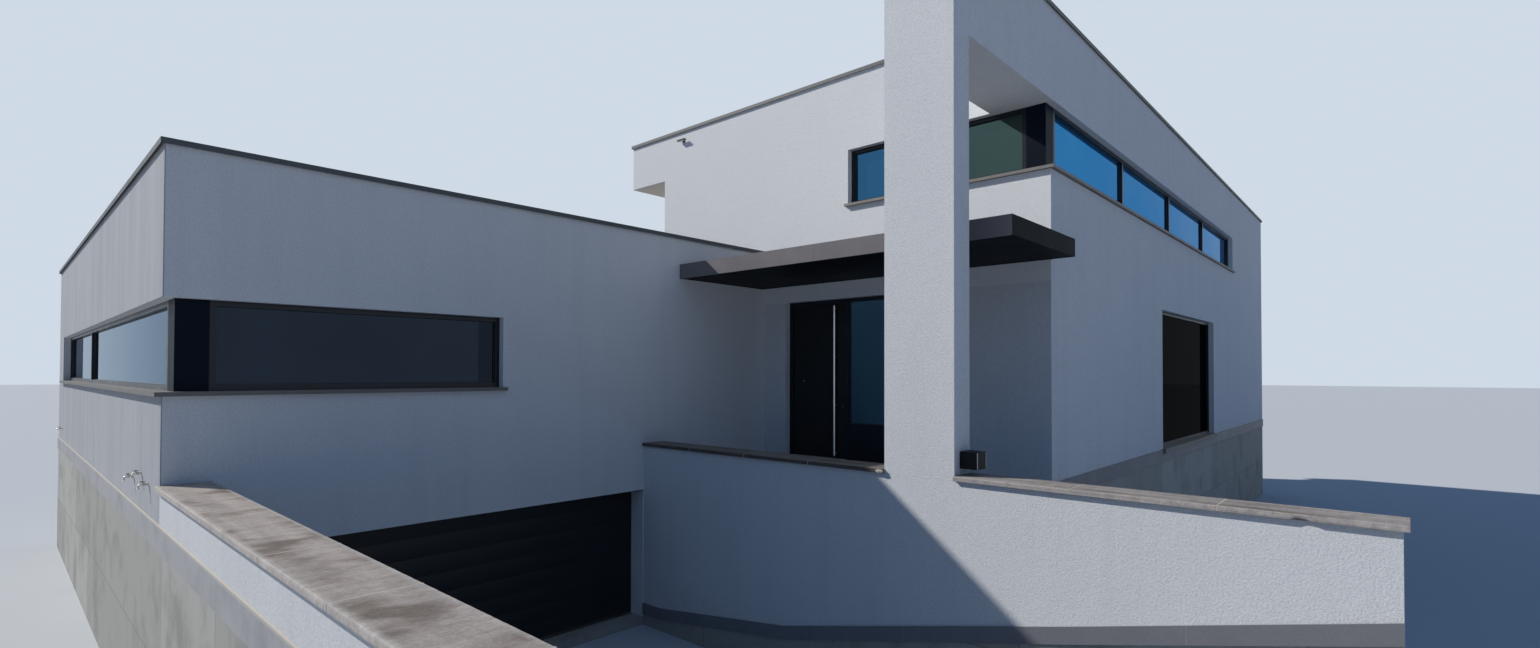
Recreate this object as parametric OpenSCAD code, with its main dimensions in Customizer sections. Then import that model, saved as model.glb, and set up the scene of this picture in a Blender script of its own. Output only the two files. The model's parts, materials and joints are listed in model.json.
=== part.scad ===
// Detached modern house with a low wing over a sunken garage, millimetres, +Z up.
// +X runs along the garden front, +Y runs from the ramp towards the back.
// The origin is the centre of the footprint box, at the level the basement stands on.

/* [Plan] */
// Length of the two-storey house along the garden front
house_length = 19300; // [17000:50:22000]
// Depth of the two-storey house
house_depth = 8520; // [8000:10:9500]
// How far the house stands forward of the wing
house_forward = 5510; // [5200:10:6500]
// Width of the wing, from its free side to the entrance wall
wing_width = 8920; // [8600:10:10000]
// Length of the wing
wing_length = 14200; // [13600:50:16000]
// Thickness of the outer walls
wall_t = 380; // [320:5:400]
// Depth of the roof overhang at the back
roof_overhang = 1140; // [800:10:1400]

/* [Heights] */
// Level of the garden ground above the basement's foot
ground_z = 2290; // [2250:5:2600]
// Rise of the ground floor above the garden
ground_floor_rise = 260; // [250:5:300]
// Height of the ground storey, from floor to floor
storey_h = 3400; // [3300:10:3700]
// Thickness of the first floor
first_floor_t = 300; // [200:5:350]
// Height of the upper rooms, whose ceiling is level with the roof overhang
upper_room_h = 2392; // [2300:2:2700]
// Height of the main roof's parapet above that ceiling, up to its trim
parapet_h = 958; // [800:2:1200]
// Height of the wing's rooms
wing_room_h = 2900; // [2850:10:3000]
// Height of the wing's parapet above its ceiling, up to its trim
wing_parapet_h = 918; // [700:2:1100]
// Thickness of the roof slabs
roof_t = 300; // [200:5:350]

/* [Garage and ramp] */
// Thickness of the garage floor
garage_floor_t = 120; // [100:5:200]
// Distance from the garden's level down to the head of the garage doorway
garage_head_drop = 110; // [60:5:200]
// How far the garage door stands back from the wall face
garage_door_recess = 325; // [250:5:330]
// Thickness of the garage door
garage_door_t = 45; // [40:1:50]
// Number of sections in the garage door
garage_sections = 4; // [3:1:6]
// Width and depth of the groove between two sections
section_groove = 8; // [5:1:15]
// Thickness of the garage doorway's lining
lining_t = 12; // [8:1:20]
// Step from the garage floor up to the ramp
garage_step = 55; // [0:5:100]
// Distance from the wing's free side to the ramp face of the pylon
ramp_line = 6030; // [5600:10:6400]
// Length of the ramp walls
ramp_length = 9220; // [8600:10:10000]
// Thickness of the right ramp wall and of the pylon
ramp_wall_t = 370; // [300:5:400]
// Height of the ramp walls above the garden, under their coping
ramp_wall_h = 600; // [400:5:900]
// Level stretch of the ramp before the garage door
ramp_level = 420; // [200:10:600]
// Length of the ramp's gentle stretch
ramp_gentle = 2590; // [2000:10:3000]
// Length of the ramp's middle stretch
ramp_middle = 3710; // [3000:10:3900]
// Rise of the ramp's gentle stretch in percent
gentle_grade = 13.3; // [10:0.1:16]
// Rise of the ramp's middle stretch in percent
middle_grade = 23.7; // [20:0.1:25]
// Rise of the ramp's last stretch in percent
last_grade = 25; // [20:0.1:26]

/* [Plinths, copings and trims] */
// Height of the stone plinth along the ramp
ramp_plinth_h = 175; // [120:5:220]
// Height of the house's stone plinth above the garden
plinth_h = 245; // [150:5:260]
// Thickness of the stone plinths
plinth_t = 20; // [10:1:40]
// Thickness of the smooth strip at the wing's foot
base_strip_t = 15; // [10:1:30]
// Thickness of the stone copings
coping_t = 50; // [40:1:70]
// Overhang of the stone copings
coping_overhang = 42; // [30:1:55]
// Usual length of a coping stone
coping_stone_l = 1250; // [600:10:2000]
// Joint between two coping stones
coping_joint = 6; // [4:1:12]
// Width of the drip grooves under copings and sills
drip_w = 10; // [6:1:12]
// Depth of the drip grooves
drip_d = 7; // [4:1:10]
// Distance from a stone's edge to its drip groove
drip_edge = 14; // [10:1:18]
// Height of the roof trims
trim_h = 62; // [50:1:80]
// Overhang of the roof trims
trim_overhang = 35; // [20:1:50]
// Thickness of the sheet that the roof trims are folded from
trim_sheet_t = 4; // [2:0.5:6]

/* [Pylon, portal and canopy] */
// Depth of the pylon and of the portal beam
pylon_depth = 910; // [700:10:1000]
// Gap between the pylon and the canopy
canopy_gap = 373; // [250:1:450]
// Slot between the canopy and the entrance wall
canopy_slot = 70; // [40:5:120]
// How far the canopy runs past the corner of the house
canopy_past_corner = 352; // [200:1:500]
// Distance from the front door's head up to the canopy
canopy_rise = 290; // [200:5:400]
// Thickness of the canopy
canopy_t = 242; // [180:1:260]
// Width of the canopy's edge round its roof tray and its soffit
canopy_edge = 30; // [20:1:60]
// Depth of the canopy's roof tray
canopy_tray_d = 60; // [20:1:80]
// How far the canopy's soffit stands back behind its edge
canopy_soffit_d = 12; // [5:1:20]
// Width of the canopy's brackets in the slot
bracket_w = 120; // [80:5:200]

/* [Windows] */
// Recess of the window frames behind the wall face
recess = 110; // [80:5:130]
// Face width of the window frames
frame_w = 60; // [45:1:75]
// Depth of the window frames
frame_d = 90; // [80:1:110]
// How far the glass stands back from the front of its frame
glass_set = 45; // [30:1:50]
// Thickness of the glazing
glass_t = 28; // [20:1:32]
// How far the glass reaches into its frame
glass_bite = 12; // [8:1:16]
// Thickness of the window sills
sill_t = 45; // [35:1:70]
// Thickness of the thresholds under the tall windows
threshold_t = 100; // [60:5:150]
// Overhang of the window sills
sill_overhang = 60; // [40:5:80]
// How far the sills reach past the sides of their openings
sill_horn = 45; // [20:5:60]
// Height of the wing windows' sill tops above the floor
wing_sill_h = 1324; // [1100:2:1500]
// Height of the wing windows
wing_window_h = 960; // [800:5:1100]
// Length of the wing window on the front, from the corner
wing_window_front = 3600; // [3000:10:4500]
// Width of the wall beyond the wing window on the free side
side_pier_w = 1160; // [800:10:2000]
// Distance from that wall to the mullion of the wing window on the free side
side_mullion_from = 4610; // [3000:10:6000]
// Width of the clad corner posts
corner_post_w = 288; // [250:1:400]
// Width of the clad corner post on the wing's free side
corner_post_side = 365; // [300:5:500]
// Height of the upper windows' sill tops above the floor
upper_sill_h = 1090; // [900:5:1200]
// Height of the upper windows, up to the portal beam
upper_window_h = 955; // [800:5:1050]
// Length of the upper strip window along the garden front
upper_window_front = 13980; // [12000:10:15000]
// Length of the upper strip window on the entrance side
upper_window_side = 1500; // [1200:10:1700]
// Distance from the wing's front to the small upper window
small_window_from = 1983; // [1500:1:2100]
// Width of the small upper window
small_window_w = 1100; // [800:10:1300]
// Distance from the corner to the tall terrace window
terrace_from = 6085; // [5500:5:6500]
// Width of the tall terrace windows
terrace_w = 5124; // [4000:4:5500]
// Height of the tall windows and of the front door above the floor
tall_h = 2850; // [2700:5:2880]

/* [Front door] */
// Distance from the wing's front to the door opening
door_from = 550; // [400:5:700]
// Width of the whole door opening with its sidelight
door_set_w = 2410; // [2200:10:2600]
// Width of the door leaf
leaf_w = 1225; // [1000:5:1400]
// Thickness of the door leaf
leaf_t = 63; // [50:1:68]
// Recess of the door frame behind the wall face
door_recess = 120; // [100:5:150]
// Gap between the leaf and the frame's lip
lip_gap = 5; // [5:1:8]
// Gap between the leaf and its frame at the sides and above
leaf_gap = 8; // [6:1:10]
// Gap between the leaf and the floor
floor_gap = 10; // [6:1:15]
// Lip of the frame over the leaf's outer edge
lip_w = 20; // [16:1:25]
// Thickness of the frame's lip
lip_t = 12; // [8:1:14]
// Diameter of the pull bar
bar_d = 38; // [30:1:45]
// Distance from the leaf's free edge to the pull bar
bar_from_edge = 207; // [120:1:400]
// Gap between the leaf and the pull bar
bar_gap = 48; // [35:1:60]
// Distance from the leaf's ends to the ends of the pull bar
bar_inset = 45; // [30:5:300]
// Diameter of the pull bar's posts
bar_post_d = 20; // [16:1:28]
// Number of the pull bar's posts
bar_posts = 4; // [2:1:5]
// Height of the closed panel under the sidelight's glass
sidelight_panel_h = 640; // [400:5:900]

/* [Fittings] */
// How far the garden taps stand out from the wall
tap_reach = 95; // [70:1:120]
// Diameter of the garden taps' bodies
tap_d = 30; // [20:1:40]
// Length of the garden taps' spouts
tap_spout = 60; // [40:5:90]
// Width of the box lamp on the pylon
box_lamp_w = 215; // [120:5:260]
// Height of the box lamp
box_lamp_h = 192; // [120:2:260]
// Distance from the pylon's ramp face to the box lamp
box_lamp_from = 126; // [50:1:150]
// Gap between the coping and the box lamp
box_lamp_gap = 72; // [10:1:150]
// Length of the bar lamp under the roof's edge
bar_lamp_l = 230; // [150:5:400]
// Depth of the bar lamp
bar_lamp_d = 100; // [60:5:150]
// Height of the bar lamp
bar_lamp_h = 56; // [40:2:80]
// Distance from the roof's trim down to the bar lamp
bar_lamp_drop = 175; // [100:5:400]
// Distance from the wing's front line back to the bar lamp
bar_lamp_from = 2265; // [1500:5:2600]

/* [Hidden] */

// Cuts run this far past the faces they go through
over = 10;
// Sides of every round piece
round_fn = 48;

// Lines of the plan, from the wing's front left corner
house_x = wing_width;
house_end_x = wing_width + house_length;
south_y = -house_forward;
north_y = house_depth - house_forward;
overhang_y = north_y + roof_overhang;
inner_x = house_x + wall_t;
ramp_back_x = ramp_line + ramp_wall_t;
ramp_end_y = -ramp_length;
pylon_back_y = south_y + pylon_depth;

// Centre of the footprint box
low_x = -max(sill_overhang, tap_reach);
high_x = house_end_x + sill_overhang;
low_y = ramp_end_y - coping_overhang;
high_y = wing_length + sill_overhang;
centre_x = (low_x + high_x) / 2;
centre_y = (low_y + high_y) / 2;

// Levels above the basement's foot
ground_floor_z = ground_z + ground_floor_rise;
first_floor_z = ground_floor_z + storey_h;
soffit_z = first_floor_z + upper_room_h;
house_top_z = soffit_z + parapet_h;
wing_ceiling_z = ground_floor_z + wing_room_h;
wing_top_z = wing_ceiling_z + wing_parapet_h;
garage_head_z = ground_z - garage_head_drop;
ramp_wall_top_z = ground_z + ramp_wall_h;
coping_top_z = ramp_wall_top_z + coping_t;
plinth_top_z = ground_z + plinth_h;
wing_sill_z = ground_floor_z + wing_sill_h;
upper_sill_z = first_floor_z + upper_sill_h;
upper_head_z = upper_sill_z + upper_window_h;
tall_head_z = ground_floor_z + tall_h;
canopy_z = tall_head_z + canopy_rise;

// The parapets reach up under the sheet of their trims
trim_leg_h = trim_h - trim_sheet_t;
wing_wall_top_z = wing_top_z + trim_leg_h;
house_wall_top_z = house_top_z + trim_leg_h;

// Ramp surface, as points of distance along Y and level
ramp_z_1 = garage_floor_t + garage_step;
ramp_z_2 = ramp_z_1 + ramp_gentle * gentle_grade / 100;
ramp_z_3 = ramp_z_2 + ramp_middle * middle_grade / 100;
ramp_rest = ramp_length - ramp_level - ramp_gentle - ramp_middle;
ramp_z_4 = ramp_z_3 + ramp_rest * last_grade / 100;
ramp_points = [
    [0, ramp_z_1], [-ramp_level, ramp_z_1], [-ramp_level - ramp_gentle, ramp_z_2],
    [ramp_rest - ramp_length, ramp_z_3], [ramp_end_y, ramp_z_4]];

// Door set: the leaf is hinged on the left, seen from outside
door_left_y = -door_from;
door_right_y = door_left_y - door_set_w;
door_frame_d = lip_t + lip_gap + leaf_t;
door_frame_x = house_x + door_recess;
leaf_hinge_y = door_left_y - frame_w - leaf_gap;
leaf_lock_y = leaf_hinge_y - leaf_w;
leaf_inner_x = door_frame_x + door_frame_d;
leaf_outer_x = leaf_inner_x - leaf_t;
leaf_low_z = ground_floor_z + floor_gap;
leaf_high_z = tall_head_z - frame_w - leaf_gap;
sidelight_w = leaf_lock_y - leaf_gap - door_right_y;
bar_x = leaf_outer_x - bar_gap - bar_d / 2;
bar_y = leaf_lock_y + bar_from_edge;

// Bays of the windows, and places of those on the unseen sides
strip_bays = 4;
plain_bays = 2;
wing_back_from = 1500;
wing_back_w = 5000;
wing_terrace_from = 3000;
east_window_from = 2500;

// Distances of the canopy's brackets from the wing's front
bracket_places = [500, 3500];

// Each tap's distance from the wing's front and height above the garden
far_tap_from_back = 1087;
tap_places = [[710, 592], [1214, 660], [1834, 565], [wing_length - far_tap_from_back, 518]];

white = [0.86, 0.87, 0.88];
concrete = [0.55, 0.55, 0.54];
bluestone = [0.42, 0.41, 0.4];
anthracite = [0.12, 0.13, 0.15];
glazing = [0.35, 0.45, 0.5, 0.5];
steel = [0.75, 0.76, 0.77];

// Puts a piece into the part's frame
module placed() translate([-centre_x, -centre_y, 0]) children();

// A box from its low to its high corner
module block(lo, hi) translate(lo) cube(hi - lo);

// Stands a flat outline upright along X, its thickness going back from y
module along_x(x, y, z, t)
    translate([x, y + t, z]) rotate([90, 0, 0]) linear_extrude(t) children();

// Stands a flat outline upright along Y, its thickness going right from x
module along_y(x, y, z, t)
    translate([x, y, z]) rotate([90, 0, 90]) linear_extrude(t) children();

// Centre lines of the bars between equal bays, measured from the frame's end
function even_bars(length, bays) =
    [for (i = [1 : 1 : bays - 1]) frame_w / 2 + i * (length - frame_w) / bays];

// Outlines of a window's panes between its bars, made larger all round by some distance
module panes(length, height, bars, grow) {
    lines = concat([frame_w / 2], bars, [length - frame_w / 2]);
    for (i = [0 : len(lines) - 2])
        translate([lines[i] + frame_w / 2 - grow, frame_w - grow])
            square([lines[i + 1] - lines[i] - frame_w + 2 * grow,
                height - 2 * frame_w + 2 * grow]);
}

// Side view of the part of a sill that stands out from the wall
module sill_nose(sill) difference() {
    translate([-sill_overhang, -sill]) square([sill_overhang, sill]);
    translate([drip_edge - sill_overhang, -sill - over]) square([drip_w, drip_d + over]);
}

// A sill that passes round a corner there, and else has a horn
module window_sill(length, corner_left, corner_right, sill) {
    from = corner_left ? -sill_overhang : -sill_horn;
    to = length + (corner_right ? sill_overhang : sill_horn);
    along_y(from, 0, 0, to - from) sill_nose(sill);
    block([0, 0, -sill], [length, wall_t, 0]);
}

// One part of a window whose opening starts at the origin and runs along +X.
// Its wall face is y = 0, with the outside towards -Y. A side that meets a
// corner post names how far the frame stays back from that corner.
module window(part, length, height, bays = 1, left = 0, right = 0, sill = sill_t, bars = []) {
    clear = length - left - right;
    lines = len(bars) > 0 ? bars : even_bars(clear, bays);
    if (part == "cut")
        block([left > 0 ? -over : 0, -over, -sill],
            [length + (right > 0 ? over : 0), wall_t + over, height]);
    if (part == "front")
        block([-sill_horn, -sill_overhang, -sill], [length + sill_horn, over, height]);
    if (part == "sill") window_sill(length, left > 0, right > 0, sill);
    if (part == "frame") difference() {
        along_x(left, recess, 0, frame_d) square([clear, height]);
        along_x(left, recess - over, 0, frame_d + 2 * over) panes(clear, height, lines, 0);
        along_x(left, recess + glass_set, 0, glass_t) panes(clear, height, lines, glass_bite);
    }
    if (part == "glass")
        along_x(left, recess + glass_set, 0, glass_t) panes(clear, height, lines, glass_bite);
}

// One part of a tall window, which stands on a threshold
module tall_window(part, length, bays = 1)
    window(part, length, tall_h, bays, sill = threshold_t);

// One part of every tall window
module tall_windows(part) {
    translate([house_x + terrace_from, south_y, ground_floor_z]) tall_window(part, terrace_w);
    translate([house_x + terrace_from + terrace_w, north_y, ground_floor_z]) rotate(180)
        tall_window(part, terrace_w, plain_bays);
    translate([wing_width, north_y + wing_terrace_from, ground_floor_z]) rotate(90)
        tall_window(part, terrace_w, plain_bays);
    translate([house_end_x, south_y + east_window_from, ground_floor_z]) rotate(90)
        tall_window(part, door_set_w);
}

// One part of every window of the wing and of the ground floor
module ground_windows(part) {
    side_length = wing_length - side_pier_w;
    translate([0, 0, wing_sill_z])
        window(part, wing_window_front, wing_window_h, left = recess + corner_post_w);
    translate([0, side_length, wing_sill_z]) rotate(-90)
        window(part, side_length, wing_window_h, right = recess + corner_post_side,
            bars = [side_mullion_from]);
    translate([wing_back_from + wing_back_w, wing_length, wing_sill_z]) rotate(180)
        window(part, wing_back_w, wing_window_h, plain_bays);
    tall_windows(part);
}

// One part of every window of the upper floor
module upper_windows(part) {
    translate([house_x, south_y, upper_sill_z])
        window(part, upper_window_front, upper_window_h, strip_bays,
            left = recess + corner_post_w);
    translate([house_x, south_y + upper_window_side, upper_sill_z]) rotate(-90)
        window(part, upper_window_side, upper_window_h, right = recess + corner_post_w);
    translate([house_x, -small_window_from, upper_sill_z]) rotate(-90)
        window(part, small_window_w, upper_window_h);
    translate([house_x + terrace_from + terrace_w, north_y, upper_sill_z]) rotate(180)
        window(part, terrace_w, upper_window_h, plain_bays);
    translate([house_end_x, south_y + east_window_from, upper_sill_z]) rotate(90)
        window(part, door_set_w, upper_window_h);
}

// The strip between the ramp's surface and the same line raised by some height
module ramp_strip(rise) {
    raised = [for (i = [len(ramp_points) - 1 : -1 : 0]) ramp_points[i] + [0, rise]];
    polygon(concat(ramp_points, raised));
}

// The outline of a ramp wall between the ramp's surface and a level
module ramp_wall(level) polygon(concat(ramp_points, [[ramp_end_y, level], [0, level]]));

module garage_floor() color(concrete) placed() {
    block([wall_t, wall_t, 0], [wing_width - wall_t, wing_length - wall_t, garage_floor_t]);
    block([wall_t, 0, 0], [ramp_line, wall_t, garage_floor_t]);
}

module wing_basement_walls() color(concrete) placed() difference() {
    block([0, 0, 0], [wing_width, wing_length, ground_z]);
    block([wall_t, wall_t, -over],
        [wing_width - wall_t, wing_length - wall_t, ground_z + over]);
    block([wall_t, -over, -over], [ramp_line, wall_t + over, ground_z + over]);
}

module house_foundation() color(concrete) placed() difference() {
    block([house_x, south_y, 0], [house_end_x, north_y, ground_z]);
    block([inner_x, south_y + wall_t, -over],
        [house_end_x - wall_t, north_y - wall_t, ground_z + over]);
}

module ramp_footings() color(concrete) placed() {
    along_y(0, 0, 0, wall_t) ramp_wall(0);
    along_y(ramp_line, 0, 0, ramp_wall_t) ramp_wall(0);
}

module ground_floor() color(concrete) placed() {
    block([wall_t, wall_t, ground_z], [wing_width - wall_t, wing_length - wall_t, ground_floor_z]);
    block([wing_width - wall_t, wall_t, ground_z], [inner_x, north_y - wall_t, ground_floor_z]);
    block([house_x, door_right_y, ground_z], [inner_x, door_left_y, ground_floor_z]);
    block([inner_x, south_y + wall_t, ground_z],
        [house_end_x - wall_t, north_y - wall_t, ground_floor_z]);
}

module first_floor() color(concrete) placed()
    block([inner_x, south_y + wall_t, first_floor_z - first_floor_t],
        [house_end_x - wall_t, north_y - wall_t, first_floor_z]);

module wing_front_wall() color(white) placed() difference() {
    union() {
        block([0, 0, ground_z], [wing_width, wall_t, wing_wall_top_z]);
        block([wall_t, 0, garage_head_z], [ramp_line, wall_t, ground_z + over]);
    }
    ground_windows("cut");
}

module wing_left_wall() color(white) placed() difference() {
    block([0, wall_t, ground_z], [wall_t, wing_length - wall_t, wing_wall_top_z]);
    ground_windows("cut");
}

module wing_back_wall() color(white) placed() difference() {
    block([0, wing_length - wall_t, ground_z], [wing_width, wing_length, wing_wall_top_z]);
    ground_windows("cut");
}

module wing_right_wall() color(white) placed() difference() {
    block([wing_width - wall_t, north_y - wall_t, ground_z],
        [wing_width, wing_length - wall_t, wing_wall_top_z]);
    ground_windows("cut");
}

module wing_roof() color(concrete) placed() {
    block([wall_t, wall_t, wing_ceiling_z],
        [wing_width - wall_t, wing_length - wall_t, wing_ceiling_z + roof_t]);
    block([wing_width - wall_t, wall_t, wing_ceiling_z],
        [wing_width, north_y - wall_t, wing_ceiling_z + roof_t]);
}

// The plan of the wing's parapet, made larger by some distance, between two levels
module wing_edge(grow, low, high) {
    block([-grow, -grow, low], [wing_width, wall_t + grow, high]);
    block([-grow, -grow, low], [wall_t + grow, wing_length + grow, high]);
    block([-grow, wing_length - wall_t - grow, low],
        [wing_width + grow, wing_length + grow, high]);
    block([wing_width - wall_t - grow, north_y - wall_t - grow, low],
        [wing_width, wing_length + grow, high]);
    block([wing_width - over, north_y, low], [wing_width + grow, wing_length + grow, high]);
}

// The plan of the main roof's parapet and of the portal beam, made larger by some distance
module house_edge(grow, low, high) {
    block([house_x - grow, south_y - grow, low],
        [house_end_x + grow, south_y + wall_t + grow, high]);
    block([house_x - grow, overhang_y - wall_t - grow, low],
        [house_end_x + grow, overhang_y + grow, high]);
    block([house_x - grow, south_y - grow, low], [inner_x + grow, overhang_y + grow, high]);
    block([house_end_x - wall_t - grow, south_y - grow, low],
        [house_end_x + grow, overhang_y + grow, high]);
    block([ramp_line - grow, south_y - grow, low], [house_x, pylon_back_y + grow, high]);
}

// The roof trims are sheets folded down over both faces of the parapets
module wing_roof_trim() color(anthracite) placed() difference() {
    wing_edge(trim_overhang, wing_top_z, wing_top_z + trim_h);
    wing_edge(trim_overhang - trim_sheet_t, wing_top_z - over, wing_wall_top_z);
}

// Side view of the garage door: flat sections with a groove at each joint
module garage_door_side() {
    door_h = garage_head_z - garage_floor_t;
    section_h = door_h / garage_sections;
    difference() {
        square([garage_door_t, door_h]);
        for (i = [1 : 1 : garage_sections - 1])
            translate([-over, i * section_h - section_groove / 2])
                square([section_groove + over, section_groove]);
    }
}

module garage_door() color(anthracite) placed()
    along_y(wall_t, garage_door_recess, garage_floor_t, ramp_line - wall_t) garage_door_side();

module garage_door_trim() color(anthracite) placed() difference() {
    block([wall_t, 0, garage_floor_t], [ramp_line, garage_door_recess, garage_head_z]);
    block([wall_t + lining_t, -over, garage_floor_t - over],
        [ramp_line - lining_t, garage_door_recess + over, garage_head_z - lining_t]);
}

module entrance_wall_left() color(white) placed()
    block([house_x, door_left_y, ground_z], [inner_x, wall_t, tall_head_z]);

module entrance_wall_right() color(white) placed()
    block([house_x, south_y, ground_z], [inner_x, door_right_y, tall_head_z]);

module upper_west_wall() color(white) placed() difference() {
    block([house_x, south_y, tall_head_z], [inner_x, north_y, upper_head_z]);
    upper_windows("cut");
}

module south_wall() color(white) placed() difference() {
    block([inner_x, south_y, ground_z], [house_end_x, south_y + wall_t, upper_head_z]);
    ground_windows("cut");
    upper_windows("cut");
}

module east_wall() color(white) placed() difference() {
    block([house_end_x - wall_t, south_y + wall_t, ground_z],
        [house_end_x, north_y - wall_t, soffit_z]);
    ground_windows("cut");
    upper_windows("cut");
}

module north_wall() color(white) placed() difference() {
    union() {
        block([house_x, north_y - wall_t, ground_z], [house_end_x, north_y, tall_head_z]);
        block([inner_x, north_y - wall_t, tall_head_z - over], [house_end_x, north_y, soffit_z]);
    }
    ground_windows("cut");
    upper_windows("cut");
}

module roof_band() color(white) placed() {
    block([house_x, south_y, upper_head_z], [inner_x, north_y, house_wall_top_z]);
    block([house_x, north_y - over, soffit_z], [inner_x, overhang_y, house_wall_top_z]);
    block([inner_x - over, south_y, upper_head_z],
        [house_end_x, south_y + wall_t, house_wall_top_z]);
    block([house_end_x - wall_t, south_y + wall_t - over, soffit_z],
        [house_end_x, overhang_y, house_wall_top_z]);
    block([inner_x - over, overhang_y - wall_t, soffit_z],
        [house_end_x - wall_t + over, overhang_y, house_wall_top_z]);
}

module portal_beam() color(white) placed()
    block([ramp_line, south_y, upper_head_z], [house_x, pylon_back_y, house_wall_top_z]);

module main_roof() color(concrete) placed()
    block([inner_x, south_y + wall_t, soffit_z],
        [house_end_x - wall_t, overhang_y - wall_t, soffit_z + roof_t]);

module main_roof_trim() color(anthracite) placed() difference() {
    house_edge(trim_overhang, house_top_z, house_top_z + trim_h);
    house_edge(trim_overhang - trim_sheet_t, house_top_z - over, house_wall_top_z);
}

module pylon() color(white) placed()
    block([ramp_line, south_y, ramp_wall_top_z], [ramp_back_x, pylon_back_y, upper_head_z]);

// The canopy is a flat tray above and a set back soffit below, inside one edge
module canopy() color(anthracite) placed() {
    low = [ramp_back_x + canopy_gap, south_y - canopy_past_corner, canopy_z];
    high = [house_x - canopy_slot, 0, canopy_z + canopy_t];
    edge = [canopy_edge, canopy_edge, 0];
    difference() {
        block(low, high);
        block(low + edge - [0, 0, over], [high[0], high[1], low[2] + canopy_soffit_d] - edge);
        block([low[0], low[1], high[2] - canopy_tray_d] + edge, high - edge + [0, 0, over]);
    }
    for (place = bracket_places)
        block([high[0] - over, -place - bracket_w / 2, canopy_z + canopy_t / 4],
            [house_x, -place + bracket_w / 2, high[2] - canopy_t / 4]);
}

module ground_window_sills() color(bluestone) placed() ground_windows("sill");

module ground_window_frames() color(anthracite) placed() ground_windows("frame");

module ground_window_glass() color(glazing) placed() ground_windows("glass");

module upper_window_sills() color(bluestone) placed() upper_windows("sill");

module upper_window_frames() color(anthracite) placed() upper_windows("frame");

module upper_window_glass() color(glazing) placed() upper_windows("glass");

// A clad post behind the corner at x and y, with its widths along X and Y
module corner_post(x, y, low, width_x, width_y, height)
    translate([x + recess, y + recess, low]) cube([width_x, width_y, height]);

module corner_posts() color(anthracite) placed() {
    corner_post(0, 0, wing_sill_z, corner_post_w, corner_post_side, wing_window_h);
    corner_post(house_x, south_y, upper_sill_z, corner_post_w, corner_post_w, upper_window_h);
}

// Opening of the door frame for the leaf, made narrower at the lip
module leaf_opening(lip)
    translate([sidelight_w + lip, -over])
        square([leaf_w + 2 * leaf_gap - 2 * lip, tall_h - frame_w - lip + over]);

// Opening of the door frame for the sidelight, made larger all round by some distance
module sidelight_opening(grow)
    translate([frame_w - grow, sidelight_panel_h - grow])
        square([sidelight_w - 2 * frame_w + 2 * grow,
            tall_h - frame_w - sidelight_panel_h + 2 * grow]);

// Stands an outline of the door set upright, some distance behind the frame's front
module in_door_set(set_back, t)
    along_y(door_frame_x + set_back, door_right_y, ground_floor_z, t) children();

module door_frame() color(anthracite) placed() difference() {
    in_door_set(0, door_frame_d) square([door_set_w, tall_h]);
    in_door_set(-over, lip_t + 2 * over) leaf_opening(lip_w);
    in_door_set(lip_t, door_frame_d) leaf_opening(0);
    in_door_set(-over, door_frame_d + 2 * over) sidelight_opening(0);
    in_door_set(glass_set, glass_t) sidelight_opening(glass_bite);
}

module sidelight_glass() color(glazing) placed()
    in_door_set(glass_set, glass_t) sidelight_opening(glass_bite);

module front_door() color(anthracite) placed()
    block([leaf_outer_x, leaf_lock_y, leaf_low_z], [leaf_inner_x, leaf_hinge_y, leaf_high_z]);

module door_pull_bar() color(steel) placed() {
    bar_length = leaf_high_z - leaf_low_z - 2 * bar_inset;
    post_step = (bar_length - 2 * bar_inset) / (bar_posts - 1);
    translate([bar_x, bar_y, leaf_low_z + bar_inset])
        cylinder(d = bar_d, h = bar_length, $fn = round_fn);
    for (i = [0 : bar_posts - 1])
        translate([bar_x, bar_y, leaf_low_z + 2 * bar_inset + i * post_step])
            rotate([0, 90, 0])
                cylinder(d = bar_post_d, h = leaf_outer_x - bar_x, $fn = round_fn);
}

module right_retaining_wall() color(white) placed()
    along_y(ramp_line, 0, 0, ramp_wall_t) ramp_wall(ramp_wall_top_z);

module left_retaining_wall() color(white) placed()
    along_y(0, 0, 0, wall_t) ramp_wall(ramp_wall_top_z);

// Side view of a coping stone with a drip groove under each edge
module coping_side(width) difference() {
    square([width, coping_t]);
    for (x = [drip_edge, width - drip_edge - drip_w])
        translate([x, -over]) square([drip_w, drip_d + over]);
}

// A row of coping stones of one length over a wall, from its low to its high Y
module coping_row(x, wall_w, from, to) {
    stones = max(1, round((to - from) / coping_stone_l));
    step = (to - from + coping_joint) / stones;
    for (i = [0 : stones - 1])
        along_x(x - coping_overhang, from + i * step, ramp_wall_top_z, step - coping_joint)
            coping_side(wall_w + 2 * coping_overhang);
}

module retaining_copings() color(bluestone) placed() {
    coping_row(0, wall_t, ramp_end_y - coping_overhang, 0);
    coping_row(ramp_line, ramp_wall_t, ramp_end_y - coping_overhang, south_y);
    coping_row(ramp_line, ramp_wall_t, pylon_back_y, 0);
}

module stone_plinths() color(bluestone) placed() {
    along_y(ramp_line - plinth_t, 0, 0, plinth_t) ramp_strip(ramp_plinth_h);
    along_y(wall_t, 0, 0, plinth_t) ramp_strip(ramp_plinth_h);
    difference() {
        block([house_x - plinth_t, south_y - plinth_t, ground_z],
            [house_end_x + plinth_t, north_y + plinth_t, plinth_top_z]);
        block([house_x, south_y, ground_z - over], [house_end_x, north_y, plinth_top_z + over]);
        block([house_x - plinth_t - over, door_right_y, ground_z - over],
            [house_x + over, door_left_y, plinth_top_z + over]);
        block([house_x - plinth_t - over, 0, ground_z - over],
            [house_x, north_y + plinth_t + over, plinth_top_z + over]);
        tall_windows("front");
    }
}

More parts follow.
